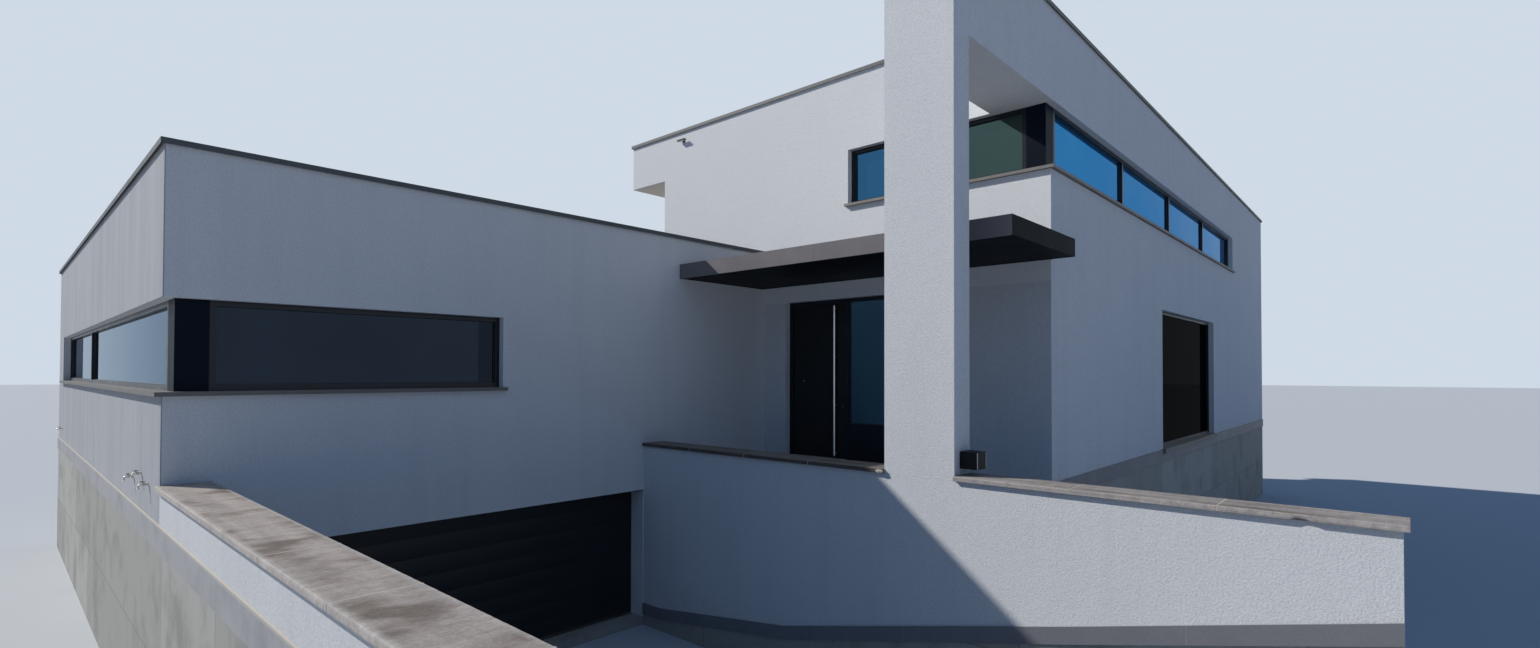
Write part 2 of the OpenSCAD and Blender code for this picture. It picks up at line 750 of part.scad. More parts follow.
// The smooth strip runs round the free sides of the wing and along the left ramp wall
module base_strip() color(white) placed() difference() {
    union() {
        block([-base_strip_t, ramp_end_y, ground_z], [0, wing_length, ground_floor_z]);
        block([-base_strip_t, wing_length, ground_z],
            [wing_width + base_strip_t, wing_length + base_strip_t, ground_floor_z]);
        block([wing_width, north_y + plinth_t, ground_z],
            [wing_width + base_strip_t, wing_length + over, ground_floor_z]);
    }
    tall_windows("front");
}

module wall_lamps() color(anthracite) placed() {
    translate([ramp_line + box_lamp_from, south_y - box_lamp_w, coping_top_z + box_lamp_gap])
        cube([box_lamp_w, box_lamp_w, box_lamp_h]);
    translate([house_x - bar_lamp_d, bar_lamp_from, house_top_z - bar_lamp_drop - bar_lamp_h])
        cube([bar_lamp_d, bar_lamp_l, bar_lamp_h]);
}

// A tap on the wall's free side: a body out of the wall and a spout down from it
module garden_tap(y, z) translate([0, y, z]) {
    rotate([0, -90, 0]) cylinder(d = tap_d, h = tap_reach, $fn = round_fn);
    translate([-tap_reach + tap_d / 2, 0, -tap_spout])
        cylinder(d = tap_d / 2, h = tap_spout, $fn = round_fn);
}

module garden_taps() color(steel) placed()
    for (tap = tap_places) garden_tap(tap[0], ground_z + tap[1]);

garage_floor();
wing_basement_walls();
house_foundation();
ramp_footings();
ground_floor();
first_floor();
wing_front_wall();
wing_left_wall();
wing_back_wall();
wing_right_wall();
wing_roof();
wing_roof_trim();
garage_door();
garage_door_trim();
entrance_wall_left();
entrance_wall_right();
upper_west_wall();
south_wall();
east_wall();
north_wall();
roof_band();
portal_beam();
main_roof();
main_roof_trim();
pylon();
canopy();
ground_window_sills();
ground_window_frames();
ground_window_glass();
upper_window_sills();
upper_window_frames();
upper_window_glass();
corner_posts();
door_frame();
sidelight_glass();
front_door();
door_pull_bar();
right_retaining_wall();
left_retaining_wall();
retaining_copings();
stone_plinths();
base_strip();
wall_lamps();
garden_taps();
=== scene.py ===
"""Dresses the detached house: the finish of each solid, and the small parts each trade adds."""
import functools
import json
import logging
import math
from collections.abc import Iterable
from dataclasses import dataclass
from enum import Enum

import bmesh
import bpy
import numpy as np
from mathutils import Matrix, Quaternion, Vector

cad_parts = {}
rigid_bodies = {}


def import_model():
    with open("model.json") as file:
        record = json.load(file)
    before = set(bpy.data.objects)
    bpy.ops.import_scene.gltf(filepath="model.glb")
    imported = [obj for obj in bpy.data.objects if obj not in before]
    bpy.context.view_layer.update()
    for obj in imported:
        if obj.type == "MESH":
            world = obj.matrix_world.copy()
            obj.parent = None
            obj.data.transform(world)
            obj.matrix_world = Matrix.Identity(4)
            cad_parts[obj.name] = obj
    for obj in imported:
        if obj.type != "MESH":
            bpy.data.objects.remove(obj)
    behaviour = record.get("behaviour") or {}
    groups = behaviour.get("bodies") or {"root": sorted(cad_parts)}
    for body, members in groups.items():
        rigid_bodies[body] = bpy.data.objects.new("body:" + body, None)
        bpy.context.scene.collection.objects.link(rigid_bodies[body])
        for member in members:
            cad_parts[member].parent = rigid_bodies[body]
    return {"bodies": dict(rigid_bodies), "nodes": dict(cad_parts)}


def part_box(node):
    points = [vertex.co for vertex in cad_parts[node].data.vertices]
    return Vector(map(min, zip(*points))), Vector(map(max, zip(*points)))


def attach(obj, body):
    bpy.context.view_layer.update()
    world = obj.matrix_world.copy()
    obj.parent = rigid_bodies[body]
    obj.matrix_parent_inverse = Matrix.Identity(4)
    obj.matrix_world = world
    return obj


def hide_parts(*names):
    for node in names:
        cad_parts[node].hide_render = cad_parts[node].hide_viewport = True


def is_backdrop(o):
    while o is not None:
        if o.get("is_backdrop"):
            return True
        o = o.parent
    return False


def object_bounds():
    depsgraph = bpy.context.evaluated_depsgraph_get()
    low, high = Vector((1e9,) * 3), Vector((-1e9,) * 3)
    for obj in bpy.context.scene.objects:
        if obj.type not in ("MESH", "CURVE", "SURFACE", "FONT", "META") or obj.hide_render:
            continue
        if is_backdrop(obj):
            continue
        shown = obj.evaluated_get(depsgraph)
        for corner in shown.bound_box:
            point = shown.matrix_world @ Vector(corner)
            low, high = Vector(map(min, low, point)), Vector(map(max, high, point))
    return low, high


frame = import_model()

LOG = logging.getLogger("house")
MM = 0.001
SMOOTH_ANGLE = math.radians(38)
ARRIS_STEPS = 2
TALL_FROM = 2.0  # panes and frames higher than this are the tall terrace windows
BOX_CORNERS = np.array(
    [[0, 0, 0], [1, 0, 0], [1, 1, 0], [0, 1, 0], [0, 0, 1], [1, 0, 1], [1, 1, 1], [0, 1, 1]]
)
BOX_FACES = np.array(
    [[0, 3, 2, 1], [4, 5, 6, 7], [0, 1, 5, 4], [1, 2, 6, 5], [2, 3, 7, 6], [3, 0, 4, 7]]
)

# The last one is the way that the entrance side faces.
X_WAY, Y_WAY, UP, DOWN, OUT = (1, 0, 0), (0, 1, 0), (0, 0, 1), (0, 0, -1), (-1, 0, 0)

Array = np.ndarray
Colour = tuple[float, float, float, float]
Triple = tuple[float, float, float]
Socket = bpy.types.NodeSocket
Inputs = dict[int | str, object]


def linear(code: str) -> Colour:
    """Turns an sRGB hex code into a linear colour.

    Args:
        code: Six hex digits, red first.

    Returns:
        Red, green, blue and a full alpha.
    """
    srgb = np.array([int(code[i:i + 2], 16) for i in (0, 2, 4)]) / 255
    flat = np.where(srgb <= 0.04045, srgb / 12.92, ((srgb + 0.055) / 1.055) ** 2.4)
    return (float(flat[0]), float(flat[1]), float(flat[2]), 1.0)


def node(
    tree: bpy.types.NodeTree, kind: str, inputs: Inputs | None = None, **settings: object
) -> bpy.types.Node:
    """Adds a node to a tree with its settings and links.

    Args:
        tree: The node tree that gets the node.
        kind: The node's Blender type name.
        inputs: Values or output sockets for its inputs, by name or number.
        settings: Properties of the node itself.

    Returns:
        The new node.
    """
    made = tree.nodes.new(kind)
    for name, value in settings.items():
        setattr(made, name, value)
    for key, value in (inputs or {}).items():
        if isinstance(value, Socket):
            tree.links.new(value, made.inputs[key])
        else:
            made.inputs[key].default_value = value
    return made


def per_metre(size_mm: float) -> float:
    """Gives the noise scale whose patches measure about this many millimetres."""
    return 1 / (size_mm * MM)


class Weave:
    """The nodes of one material, with the kinds that all finishes share."""

    def __init__(self, tree: bpy.types.NodeTree) -> None:
        """Starts with the object coordinates, in metres in the shared frame."""
        self.tree = tree
        self.place = node(tree, "ShaderNodeTexCoord").outputs["Object"]

    @functools.cached_property
    def axes(self) -> dict[str, Socket]:
        """Gives the place along each axis, by X, Y and Z."""
        return node(self.tree, "ShaderNodeSeparateXYZ", {0: self.place}).outputs

    def noise(
        self, scale: float | Triple, detail: float = 2.0, roughness: float = 0.5,
        distortion: float = 0.0,
    ) -> Socket:
        """Adds cloudy noise.

        Args:
            scale: Patches in a metre, one number or one for each axis.
            detail: How many finer layers it has.
            roughness: How strong those layers are.
            distortion: How far they are bent.

        Returns:
            Its value, around a half.
        """
        place = self.place
        if isinstance(scale, tuple):
            place = node(self.tree, "ShaderNodeMapping", {"Vector": place, "Scale": scale}).outputs[0]
            scale = 1.0
        return node(self.tree, "ShaderNodeTexNoise", {
            "Vector": place, "Scale": scale, "Detail": detail, "Roughness": roughness,
            "Distortion": distortion,
        }).outputs[0]

    def cells(self, size_mm: float) -> Socket:
        """Gives the distance from the middles of cells about this many millimetres wide."""
        return node(self.tree, "ShaderNodeTexVoronoi", {
            "Vector": self.place, "Scale": per_metre(size_mm),
        }).outputs["Distance"]

    def bricks(self, place: Socket, inputs: Inputs, offset: float) -> dict[str, Socket]:
        """Adds a grid of plates with joints.

        Args:
            place: Coordinates, of which X and Y lie in the grid.
            inputs: Colours and sizes, by the brick node's names.
            offset: How far each row is moved along, in plates.

        Returns:
            The grid's colour, and as Fac where its joints are.
        """
        return node(self.tree, "ShaderNodeTexBrick", {
            "Vector": place, "Scale": 1.0, **inputs,
        }, offset=offset).outputs

    def span(
        self, value: Socket, start: float, stop: float, low: float = 0.0,
        high: float | Socket = 1.0, soft: bool = False,
    ) -> Socket:
        """Turns one range of values into another, and holds the ends beyond it.

        Args:
            value: The value.
            start: Where the first range starts.
            stop: Where it stops.
            low: What its start becomes.
            high: What its stop becomes.
            soft: Whether the change starts and stops gently.

        Returns:
            The new value.
        """
        return node(self.tree, "ShaderNodeMapRange", {
            "Value": value, "From Min": start, "From Max": stop, "To Min": low, "To Max": high,
        }, interpolation_type="SMOOTHSTEP" if soft else "LINEAR").outputs[0]

    def maths(self, operation: str, *values: float | Socket) -> Socket:
        """Calculates with values, by the name of Blender's operation."""
        return node(
            self.tree, "ShaderNodeMath", dict(enumerate(values)), operation=operation
        ).outputs[0]

    def mix(self, share: Socket, first: str | Socket, second: str | Socket) -> Socket:
        """Mixes two colours, each a hex code or a socket.

        Args:
            share: How much of the second colour shows.
            first: The first colour.
            second: The second colour.

        Returns:
            The mixed colour.
        """
        first, second = (linear(c) if isinstance(c, str) else c for c in (first, second))
        return node(self.tree, "ShaderNodeMix", {
            0: share, 6: first, 7: second,
        }, data_type="RGBA").outputs[2]

    def bump(
        self, height: Socket, strength: float, depth_mm: float, under: Socket | None = None
    ) -> Socket:
        """Raises the surface by a pattern.

        Args:
            height: The pattern.
            strength: How much of it shows, 0 to 1.
            depth_mm: How high it is, in millimetres.
            under: The bumps that it lies on.

        Returns:
            The normal.
        """
        inputs = {"Height": height, "Strength": strength, "Distance": depth_mm * MM}
        if under is not None:
            inputs["Normal"] = under
        return node(self.tree, "ShaderNodeBump", inputs).outputs[0]


@dataclass(frozen=True)
class Finish:
    """A surface finish. Each kind gives the inputs of one Principled shader."""

    name: str

    def surface(self, weave: Weave) -> Inputs:
        """Gives the shader's inputs.

        Args:
            weave: The material's nodes.

        Returns:
            Values and sockets by the shader's input names.
        """
        raise NotImplementedError

    @functools.cache
    def material(self) -> bpy.types.Material:
        """Makes the Blender material, once for each different finish.

        Returns:
            The material.
        """
        made = bpy.data.materials.new(self.name)
        made.use_nodes = True
        tree = made.node_tree
        tree.nodes.clear()
        shader = node(tree, "ShaderNodeBsdfPrincipled", self.surface(Weave(tree)))
        node(tree, "ShaderNodeOutputMaterial", {"Surface": shader.outputs[0]})
        return made


@dataclass(frozen=True)
class SpongedRender(Finish):
    """Thin-coat silicone render, floated with a sponge over insulation.

    The eye sees a matt wall with a fine grain, soft waves from the float, cloudy drying
    marks, faint rain runs and a little splashed dirt near its foot. The faces past a set X
    take a painted tone, which stands in for the light that falls on that side.
    """

    colour: str = "E5E6E8"
    cloud: str = "DADCDF"
    pit: str = "BDBFC3"
    pit_share: float = 0.5
    run: str = "C2C4C8"
    run_share: float = 0.24
    dirt: str = "B4AFA8"
    dirt_share: float = 0.2
    foot_z: float = 2.55
    splash_h: float = 0.45
    # Painted light: the tone, share and X of the faces that take a painted side tone.
    painted_side_tone: str = "8E9198"
    painted_side_share: float = 0.72
    painted_side_x: float = -14.085
    uneven: float = 0.15
    gloss: float = 0.35
    grain_mm: float = 20.0  # the real grain is 2 mm, too fine to show, so it is drawn coarser
    wave_mm: float = 110.0
    cloud_mm: float = 1300.0
    run_scale: Triple = (3.1, 3.1, 0.26)  # runs of a hand's width, metres long

    def surface(self, weave: Weave) -> Inputs:
        """Mixes clouds, runs, the painted side tone and dirt into the colour, and grain and waves
        into bumps.

        Args:
            weave: The material's nodes.

        Returns:
            The shader's inputs.
        """
        grain = weave.noise(per_metre(self.grain_mm), 4.0, 0.75)
        wave = weave.noise(per_metre(self.wave_mm))
        run = weave.noise(self.run_scale, 6.0, 0.6)
        foot = weave.span(
            weave.axes["Z"], self.foot_z + self.splash_h, self.foot_z - 0.05, 0.0,
            self.dirt_share, soft=True,
        )
        share = weave.span(
            run, 0.25, 0.75, (1 - self.uneven) * self.painted_side_share,
            (1 + self.uneven) * self.painted_side_share,
        )
        # Faces past the set X turn towards the painted tone: painted shade on the wing's west faces,
        # painted sunlight on the upper west wall.
        painted_side = weave.span(weave.axes["X"], self.painted_side_x + 4 * MM, self.painted_side_x, 0.0, share)
        cloud = weave.noise(per_metre(self.cloud_mm), 5.0, 0.6)
        face = weave.mix(cloud, self.colour, self.cloud)
        face = weave.mix(weave.span(grain, 0.56, 0.36, 0.0, self.pit_share), face, self.pit)
        face = weave.mix(weave.span(run, 0.45, 0.8, 0.0, self.run_share, soft=True), face, self.run)
        face = weave.mix(painted_side, face, self.painted_side_tone)
        face = weave.mix(weave.maths("MULTIPLY", foot, run), face, self.dirt)
        return {
            "Base Color": face, "Roughness": weave.span(grain, 0.0, 1.0, 0.82, 0.98),
            "Normal": weave.bump(grain, 0.9, 5.0, weave.bump(wave, 0.45, 4.0)),
            "Specular IOR Level": self.gloss,
        }


@dataclass(frozen=True)
class TrowelledMortar(Finish):
    """Cement base render, trowelled smooth.

    The eye sees a grey band with trowel arcs, pale lime bloom along its top edge and darker
    damp patches.
    """

    colour: str = "A29B98"
    damp: str = "857E79"
    bloom: str = "C3BDB4"
    bloom_share: float = 0.75
    top_z: float = 2.55
    trowel_mm: float = 160.0
    grain_mm: float = 12.0  # sand of 1 mm, drawn coarser so that it shows

    def surface(self, weave: Weave) -> Inputs:
        """Mixes damp patches and bloom into the colour, and trowel marks into bumps.

        Args:
            weave: The material's nodes.

        Returns:
            The shader's inputs.
        """
        trowel = weave.noise(per_metre(self.trowel_mm), 3.0, distortion=1.2)
        grain = weave.noise(per_metre(self.grain_mm))
        damp = weave.span(weave.noise(1.9, 6.0, 0.62), 0.42, 0.7, soft=True)
        near_top = weave.span(
            weave.axes["Z"], self.top_z - 0.03, self.top_z - 0.004, 0.0, self.bloom_share
        )
        face = weave.mix(near_top, weave.mix(damp, self.colour, self.damp), self.bloom)
        return {
            "Base Color": face, "Roughness": weave.span(trowel, 0.0, 1.0, 0.62, 0.92),
            "Normal": weave.bump(grain, 0.25, 1.2, weave.bump(trowel, 0.35, 3.0)),
        }


@dataclass(frozen=True)
class CastConcrete(Finish):
    """Cast concrete, struck from panel formwork.

    The eye sees grey panels with fine raised joints, blow holes, pour clouds and dark stains.
    """

    colour: str = "9C9B96"
    dark: str = "7B7A76"
    pale: str = "B4B3AE"
    panel_w: float = 2.4
    panel_h: float = 1.145
    joint_mm: float = 8.0
    pore_mm: float = 26.0  # blow holes of 5 mm, drawn larger so that they show

    def surface(self, weave: Weave) -> Inputs:
        """Lays a grid of panel joints on the walls, with pour clouds, pores and stains.

        Args:
            weave: The material's nodes.

        Returns:
            The shader's inputs.
        """
        flat = node(weave.tree, "ShaderNodeCombineXYZ", {
            "X": weave.maths("ADD", weave.axes["X"], weave.axes["Y"]), "Y": weave.axes["Z"],
        }).outputs[0]
        panels = weave.bricks(flat, {
            "Color1": linear(self.colour), "Color2": linear(self.pale),
            "Mortar": linear(self.dark), "Mortar Size": self.joint_mm * MM,
            "Mortar Smooth": 0.4, "Bias": -0.35, "Brick Width": self.panel_w,
            "Row Height": self.panel_h,
        }, offset=0.0)
        pour = weave.noise(1.4, 7.0, 0.63)
        stain = weave.span(pour, 0.45, 0.72, 0.0, 0.7, soft=True)
        hole = weave.span(weave.cells(self.pore_mm), 0.1, 0.2, soft=True)
        ridge = weave.bump(panels["Fac"], 0.5, 3.0)
        return {
            "Base Color": weave.mix(stain, panels["Color"], self.dark),
            "Roughness": weave.span(pour, 0.0, 1.0, 0.7, 0.95),
            "Normal": weave.bump(hole, 0.3, 2.0, ridge),
        }


@dataclass(frozen=True)
class Bluestone(Finish):
    """Sawn and honed blue limestone.

    The eye sees a cool grey stone with small pale fossil flecks, darker clouds and a dull
    satin sheen.
    """

    colour: str = "7E8086"
    cloud: str = "6A6C72"
    fleck: str = "A3A5A9"
    fleck_share: float = 0.55
    fleck_mm: float = 14.0  # fossils of 3 to 8 mm, drawn larger so that they show

    def surface(self, weave: Weave) -> Inputs:
        """Mixes clouds and flecks into the colour, and the clouds into the bumps.

        Args:
            weave: The material's nodes.

        Returns:
            The shader's inputs.
        """
        cloud = weave.noise(3.1, 6.0, 0.6)
        fossil = weave.span(
            weave.cells(self.fleck_mm), 0.24, 0.1, 0.0, self.fleck_share, soft=True
        )
        face = weave.mix(fossil, weave.mix(cloud, self.colour, self.cloud), self.fleck)
        return {
            "Base Color": face, "Roughness": weave.span(cloud, 0.0, 1.0, 0.45, 0.75),
            "Normal": weave.bump(cloud, 0.3, 2.0),
        }


@dataclass(frozen=True)
class WeatheredCoping(Finish):
    """Blue limestone coping, left to the weather.

    The eye sees a warm grey, gritty top with brown-grey rain stains across it, a rim of its
    own tone, fine strata along its sides and small lichen spots.
    """

    colour: str
    stain: str
    rim: str
    centre_x: float
    half_w: float
    stain_share: float = 0.75
    lichen: str = "B9B6A6"
    rim_w: float = 0.05
    layer_low: float = 0.86
    blot: Triple = (2.1, 2.5, 1.0)
    streak: Triple = (5.0, 17.0, 9.0)
    strata: Triple = (9.0, 0.5, 60.0)
    spot_mm: float = 30.0
    grit_mm: float = 22.0  # opened grain of 2 to 4 mm, drawn coarser so that it shows

    def surface(self, weave: Weave) -> Inputs:
        """Mixes cross stains, the rim, strata, grit and spots.

        Args:
            weave: The material's nodes.

        Returns:
            The shader's inputs.
        """
        blot = weave.noise(self.blot, 9.0)
        veil = weave.noise(self.streak, 8.0, 0.7)
        strata = weave.noise(self.strata, 3.0)
        grit = weave.noise(per_metre(self.grit_mm), 6.0, 0.8)
        stained = weave.span(blot, 0.46, 0.74, 0.0, self.stain_share, soft=True)
        aside = weave.maths("ABSOLUTE", weave.maths("SUBTRACT", weave.axes["X"], self.centre_x))
        rim = weave.span(aside, self.half_w - self.rim_w, self.half_w, 0.0, 0.8, soft=True)
        growth = weave.span(weave.cells(self.spot_mm), 0.13, 0.07, 0.0, 0.5, soft=True)
        face = weave.mix(
            weave.maths("MULTIPLY_ADD", stained, veil, stained), self.colour, self.stain
        )
        face = weave.mix(growth, weave.mix(rim, face, self.rim), self.lichen)
        layer = weave.span(strata, 0.38, 0.62, self.layer_low, 1.06)
        streaked = weave.span(veil, 0.36, 0.64, 0.8, 1.12)
        speckle = weave.span(grit, 0.36, 0.64, 0.8, 1.16)
        shade = weave.maths("MULTIPLY", weave.maths("MULTIPLY", layer, streaked), speckle)
        lined = node(weave.tree, "ShaderNodeVectorMath", {0: face, 3: shade}, operation="SCALE")
        pitted = weave.bump(blot, 0.5, 5.0, weave.bump(grit, 0.5, 3.0))
        return {
            "Base Color": lined.outputs[0], "Roughness": weave.span(blot, 0.0, 1.0, 0.7, 0.95),
            "Normal": weave.bump(strata, 0.4, 2.0, pitted),
        }


@dataclass(frozen=True)
class CoatedAluminium(Finish):
    """Powder-coated aluminium.

    The eye sees an even satin colour with a faint orange peel, a little dust lying in
    patches and soft, wide highlights.
    """

    colour: str
    dust: str
    dust_share: float = 0.35
    sheen: float = 0.42
    gloss: float = 0.5
    peel_mm: float = 6.0  # real peel is 1 mm wide, drawn coarser so that it shows
    dust_mm: float = 700.0

    def surface(self, weave: Weave) -> Inputs:
        """Mixes thin dust into the colour, and a fine peel into the bumps.

        Args:
            weave: The material's nodes.

        Returns:
            The shader's inputs.
        """
        dust = weave.noise(per_metre(self.dust_mm), 8.0, 0.7)
        lying = weave.span(dust, 0.4, 0.8, 0.0, self.dust_share, soft=True)
        return {
            "Base Color": weave.mix(lying, self.colour, self.dust),
            "Roughness": weave.span(dust, 0.0, 1.0, self.sheen - 0.1, self.sheen + 0.16),
            "Normal": weave.bump(weave.noise(per_metre(self.peel_mm)), 0.12, 0.6),
            "Specular IOR Level": self.gloss,
        }


@dataclass(frozen=True)
class BrushedSteel(Finish):
    """Stainless steel, brushed along its length.

    The eye sees a grey metal with fine lengthwise lines that stretch its highlights.
    """

    colour: str = "B9BBBD"
    line_mm: float = 3.0  # brush lines of 0.2 mm, drawn coarser so that they show

    def surface(self, weave: Weave) -> Inputs:
        """Draws noise out along Z for the brush lines.

        Args:
            weave: The material's nodes.

        Returns:
            The shader's inputs.
        """
        line = weave.noise((per_metre(self.line_mm), per_metre(self.line_mm), 4.0), 3.0)
        return {
            "Base Color": linear(self.colour), "Metallic": 1.0,
            "Roughness": weave.span(line, 0.0, 1.0, 0.22, 0.42),
            "Normal": weave.bump(line, 0.15, 0.3),
        }


@dataclass(frozen=True)
class NickelledBrass(Finish):
    """Brass taps, nickel plated and spotted by water.

    The eye sees a warm silver with dull lime spots and brass showing through on worn places.
    """

    colour: str = "C2BFB8"
    worn: str = "A58B55"
    spot_mm: float = 7.0

    def surface(self, weave: Weave) -> Inputs:
        """Mixes worn brass into the nickel, with lime spots in the roughness.

        Args:
            weave: The material's nodes.

        Returns:
            The shader's inputs.
        """
        spot = weave.noise(per_metre(self.spot_mm), 4.0)
        bare = weave.span(spot, 0.58, 0.72, soft=True)
        return {
            "Base Color": weave.mix(bare, self.colour, self.worn), "Metallic": 1.0,
            "Roughness": weave.span(spot, 0.0, 1.0, 0.18, 0.5),
        }


@dataclass(frozen=True)
class CoatedGlass(Finish):
    """Double glazing of float glass with a sun-shading coat.

    The coat is a thin metal oxide layer. The eye sees a tinted mirror that keeps its tint
    at a slant, lets a little of the dark room through and carries a faint film of dust.
    The tints of the window groups are partly painted reflection of what each pane mirrors.
    """

    colour: str
    film: str
    slant: str
    coat: float = 0.8
    clear: float = 0.6
    film_mm: float = 1400.0

    def surface(self, weave: Weave) -> Inputs:
        """Tints the pane and lays a thin uneven film on it.

        Args:
            weave: The material's nodes.

        Returns:
            The shader's inputs.
        """
        film = weave.noise(per_metre(self.film_mm), 5.0)
        return {
            "Base Color": weave.mix(film, self.colour, self.film),
            "Roughness": weave.span(film, 0.35, 0.8, 0.01, 0.05), "Metallic": self.coat,
            "Specular Tint": linear(self.slant), "Transmission Weight": self.clear,
        }


@dataclass(frozen=True)
class RoofMembrane(Finish):
    """Torched bitumen rolls with a slate-grit face.

    The eye sees a dark grey granular sheet, a darker bead of bitumen along each lap of the
    one-metre rolls and soft pale patches where puddles dry.
    """

    colour: str = "4B4F54"
    pale: str = "6F7275"
    bead: str = "2E3135"
    grit_mm: float = 10.0  # grit of 1 to 2 mm, drawn coarser so that it shows
    grit_share: float = 0.55
    puddle_mm: float = 1900.0
    puddle_share: float = 0.4
    roll_w: float = 1.0
    roll_l: float = 7.5
    bead_w: float = 0.024

    def surface(self, weave: Weave) -> Inputs:
        """Mixes puddle marks, grit and the rolls' laps into the colour and the bumps.

        Args:
            weave: The material's nodes.

        Returns:
            The shader's inputs.
        """
        grit = weave.noise(per_metre(self.grit_mm), 3.0, 0.8)
        pool = weave.noise(per_metre(self.puddle_mm), 5.0)
        dried = weave.span(pool, 0.42, 0.68, 0.0, self.puddle_share, soft=True)
        mottled = weave.maths("MULTIPLY_ADD", grit, self.grit_share, dried)
        lap = weave.bricks(weave.place, {
            "Mortar Size": self.bead_w / 2, "Mortar Smooth": 0.3, "Brick Width": self.roll_l,
            "Row Height": self.roll_w,
        }, offset=0.4)["Fac"]
        face = weave.mix(lap, weave.mix(mottled, self.colour, self.pale), self.bead)
        return {
            "Base Color": face, "Roughness": 0.93,
            "Normal": weave.bump(grit, 0.4, 2.0, weave.bump(lap, 0.5, 3.0)),
        }


@dataclass(frozen=True)
class OiledScreed(Finish):
    """Power-floated screed, oiled.

    The eye sees a warm grey floor with broad clouds and a low satin sheen.
    """

    colour: str = "B4AFA8"
    cloud: str = "9D978F"

    def surface(self, weave: Weave) -> Inputs:
        """Mixes float clouds into the colour and the sheen.

        Args:
            weave: The material's nodes.

        Returns:
            The shader's inputs.
        """
        cloud = weave.noise(1.6, 7.0, 0.6, 0.8)
        return {
            "Base Color": weave.mix(cloud, self.colour, self.cloud),
            "Roughness": weave.span(cloud, 0.0, 1.0, 0.35, 0.6),
        }


@dataclass(frozen=True)
class SealRubber(Finish):
    """Extruded sealing rubber.

    The eye sees a dull black line with a slight grey bloom.
    """

    colour: str = "15171A"
    bloom: str = "33363A"

    def surface(self, weave: Weave) -> Inputs:
        """Mixes a patchy bloom into the black.

        Args:
            weave: The material's nodes.

        Returns:
            The shader's inputs.
        """
        bloom = weave.noise(5.0, 4.0)
        return {
            "Base Color": weave.mix(bloom, self.colour, self.bloom),
            "Roughness": weave.span(bloom, 0.0, 1.0, 0.6, 0.85),
        }


@dataclass(frozen=True)
class OpalAcrylic(Finish):
    """Moulded opal acrylic of a lamp, unlit.

    The eye sees a milky white sheet with a soft gloss and patches of dust.
    """

    colour: str = "D9DCDD"
    dust: str = "B9BABA"

    def surface(self, weave: Weave) -> Inputs:
        """Mixes a little dust into the white.

        Args:
            weave: The material's nodes.

        Returns:
            The shader's inputs.
        """
        face = weave.mix(weave.noise(22.0, 4.0), self.colour, self.dust)
        return {"Base Color": face, "Roughness": 0.32, "Subsurface Weight": 0.15}


class Slot(Enum):
    """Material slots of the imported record."""

    WHITE_RENDER = "white_render"
    CONCRETE = "concrete"
    ROOFING = "roofing"
    ROOF_TRIM = "roof_trim"
    GARAGE_PANEL = "garage_panel"
    CANOPY_PANEL = "canopy_panel"
    BLUESTONE = "bluestone"
    COPING_STONE = "coping_stone"
    WINDOW_FRAME = "window_frame"
    WINDOW_GLASS = "window_glass"
    STAINLESS_STEEL = "stainless_steel"
    LAMP_HOUSING = "lamp_housing"
    TAP_METAL = "tap_metal"


class Body(Enum):
    """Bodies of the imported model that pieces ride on."""

    HOUSE = "house"
    DOOR = "door"


# By default the west faces past x = -14.085, of the wing and the left ramp wall, take a grey painted
# shade.
WALL_RENDER = SpongedRender("sponged_wall_render")
RAMP_RENDER = SpongedRender("sponged_ramp_render", foot_z=0.5, painted_side_share=0.2)
# Over the entrance the west face takes a paler tone instead: painted sunlight.
UPPER_RENDER = SpongedRender(
    "sponged_upper_render", painted_side_tone="F2F4F6", painted_side_share=0.47, painted_side_x=-5.1675
)
# Its warm beige is painted light: the warm glow that the ground throws up under the overhang.
SOFFIT_RENDER = SpongedRender("sponged_soffit_render", colour="E6DCCF", cloud="DACFC1")
BASE_COAT = TrowelledMortar("trowelled_base_coat", colour="9FA0A3", damp="8F9093", bloom="C4BDB1")
BASE_MORTAR = TrowelledMortar("pointing_mortar")
PALE_MORTAR = TrowelledMortar("pale_pointing_mortar", colour="ADA7A2", damp="9A938D")
CONCRETE = CastConcrete("cast_concrete")
STONE = Bluestone("honed_bluestone")
SILL_STONE = Bluestone("honed_sill_stone", colour="85817E", cloud="75716E", fleck="9D9996")
# A darker copy of the sill stone for the ground-floor sills, which lie in shade: painted shade.
SHADED_SILL_STONE = Bluestone(
    "honed_sill_stone_painted_shade", colour="6C6A69", cloud="5E5C5B", fleck="85827F"
)
FRAME_COAT = CoatedAluminium(
    "coated_frame_aluminium", colour="141B25", dust="252C36", sheen=0.3, gloss=0.3
)
TRIM_COAT = CoatedAluminium("coated_trim_aluminium", colour="3B4148", dust="6E7378", sheen=0.5)
# One dark aluminium in two coats: this near-black one is partly painted shade for the sides in shade,
# and the paler fascia coat below is painted sunlight on the long, sunlit side.
CANOPY_COAT = CoatedAluminium(
    "coated_canopy_aluminium", colour="101318", dust="1C1F24", gloss=0.02
)
FASCIA_PAINTED_LIGHT_COAT = CoatedAluminium("fascia_aluminium_painted_sunlight", colour="686468", dust="807B7F")
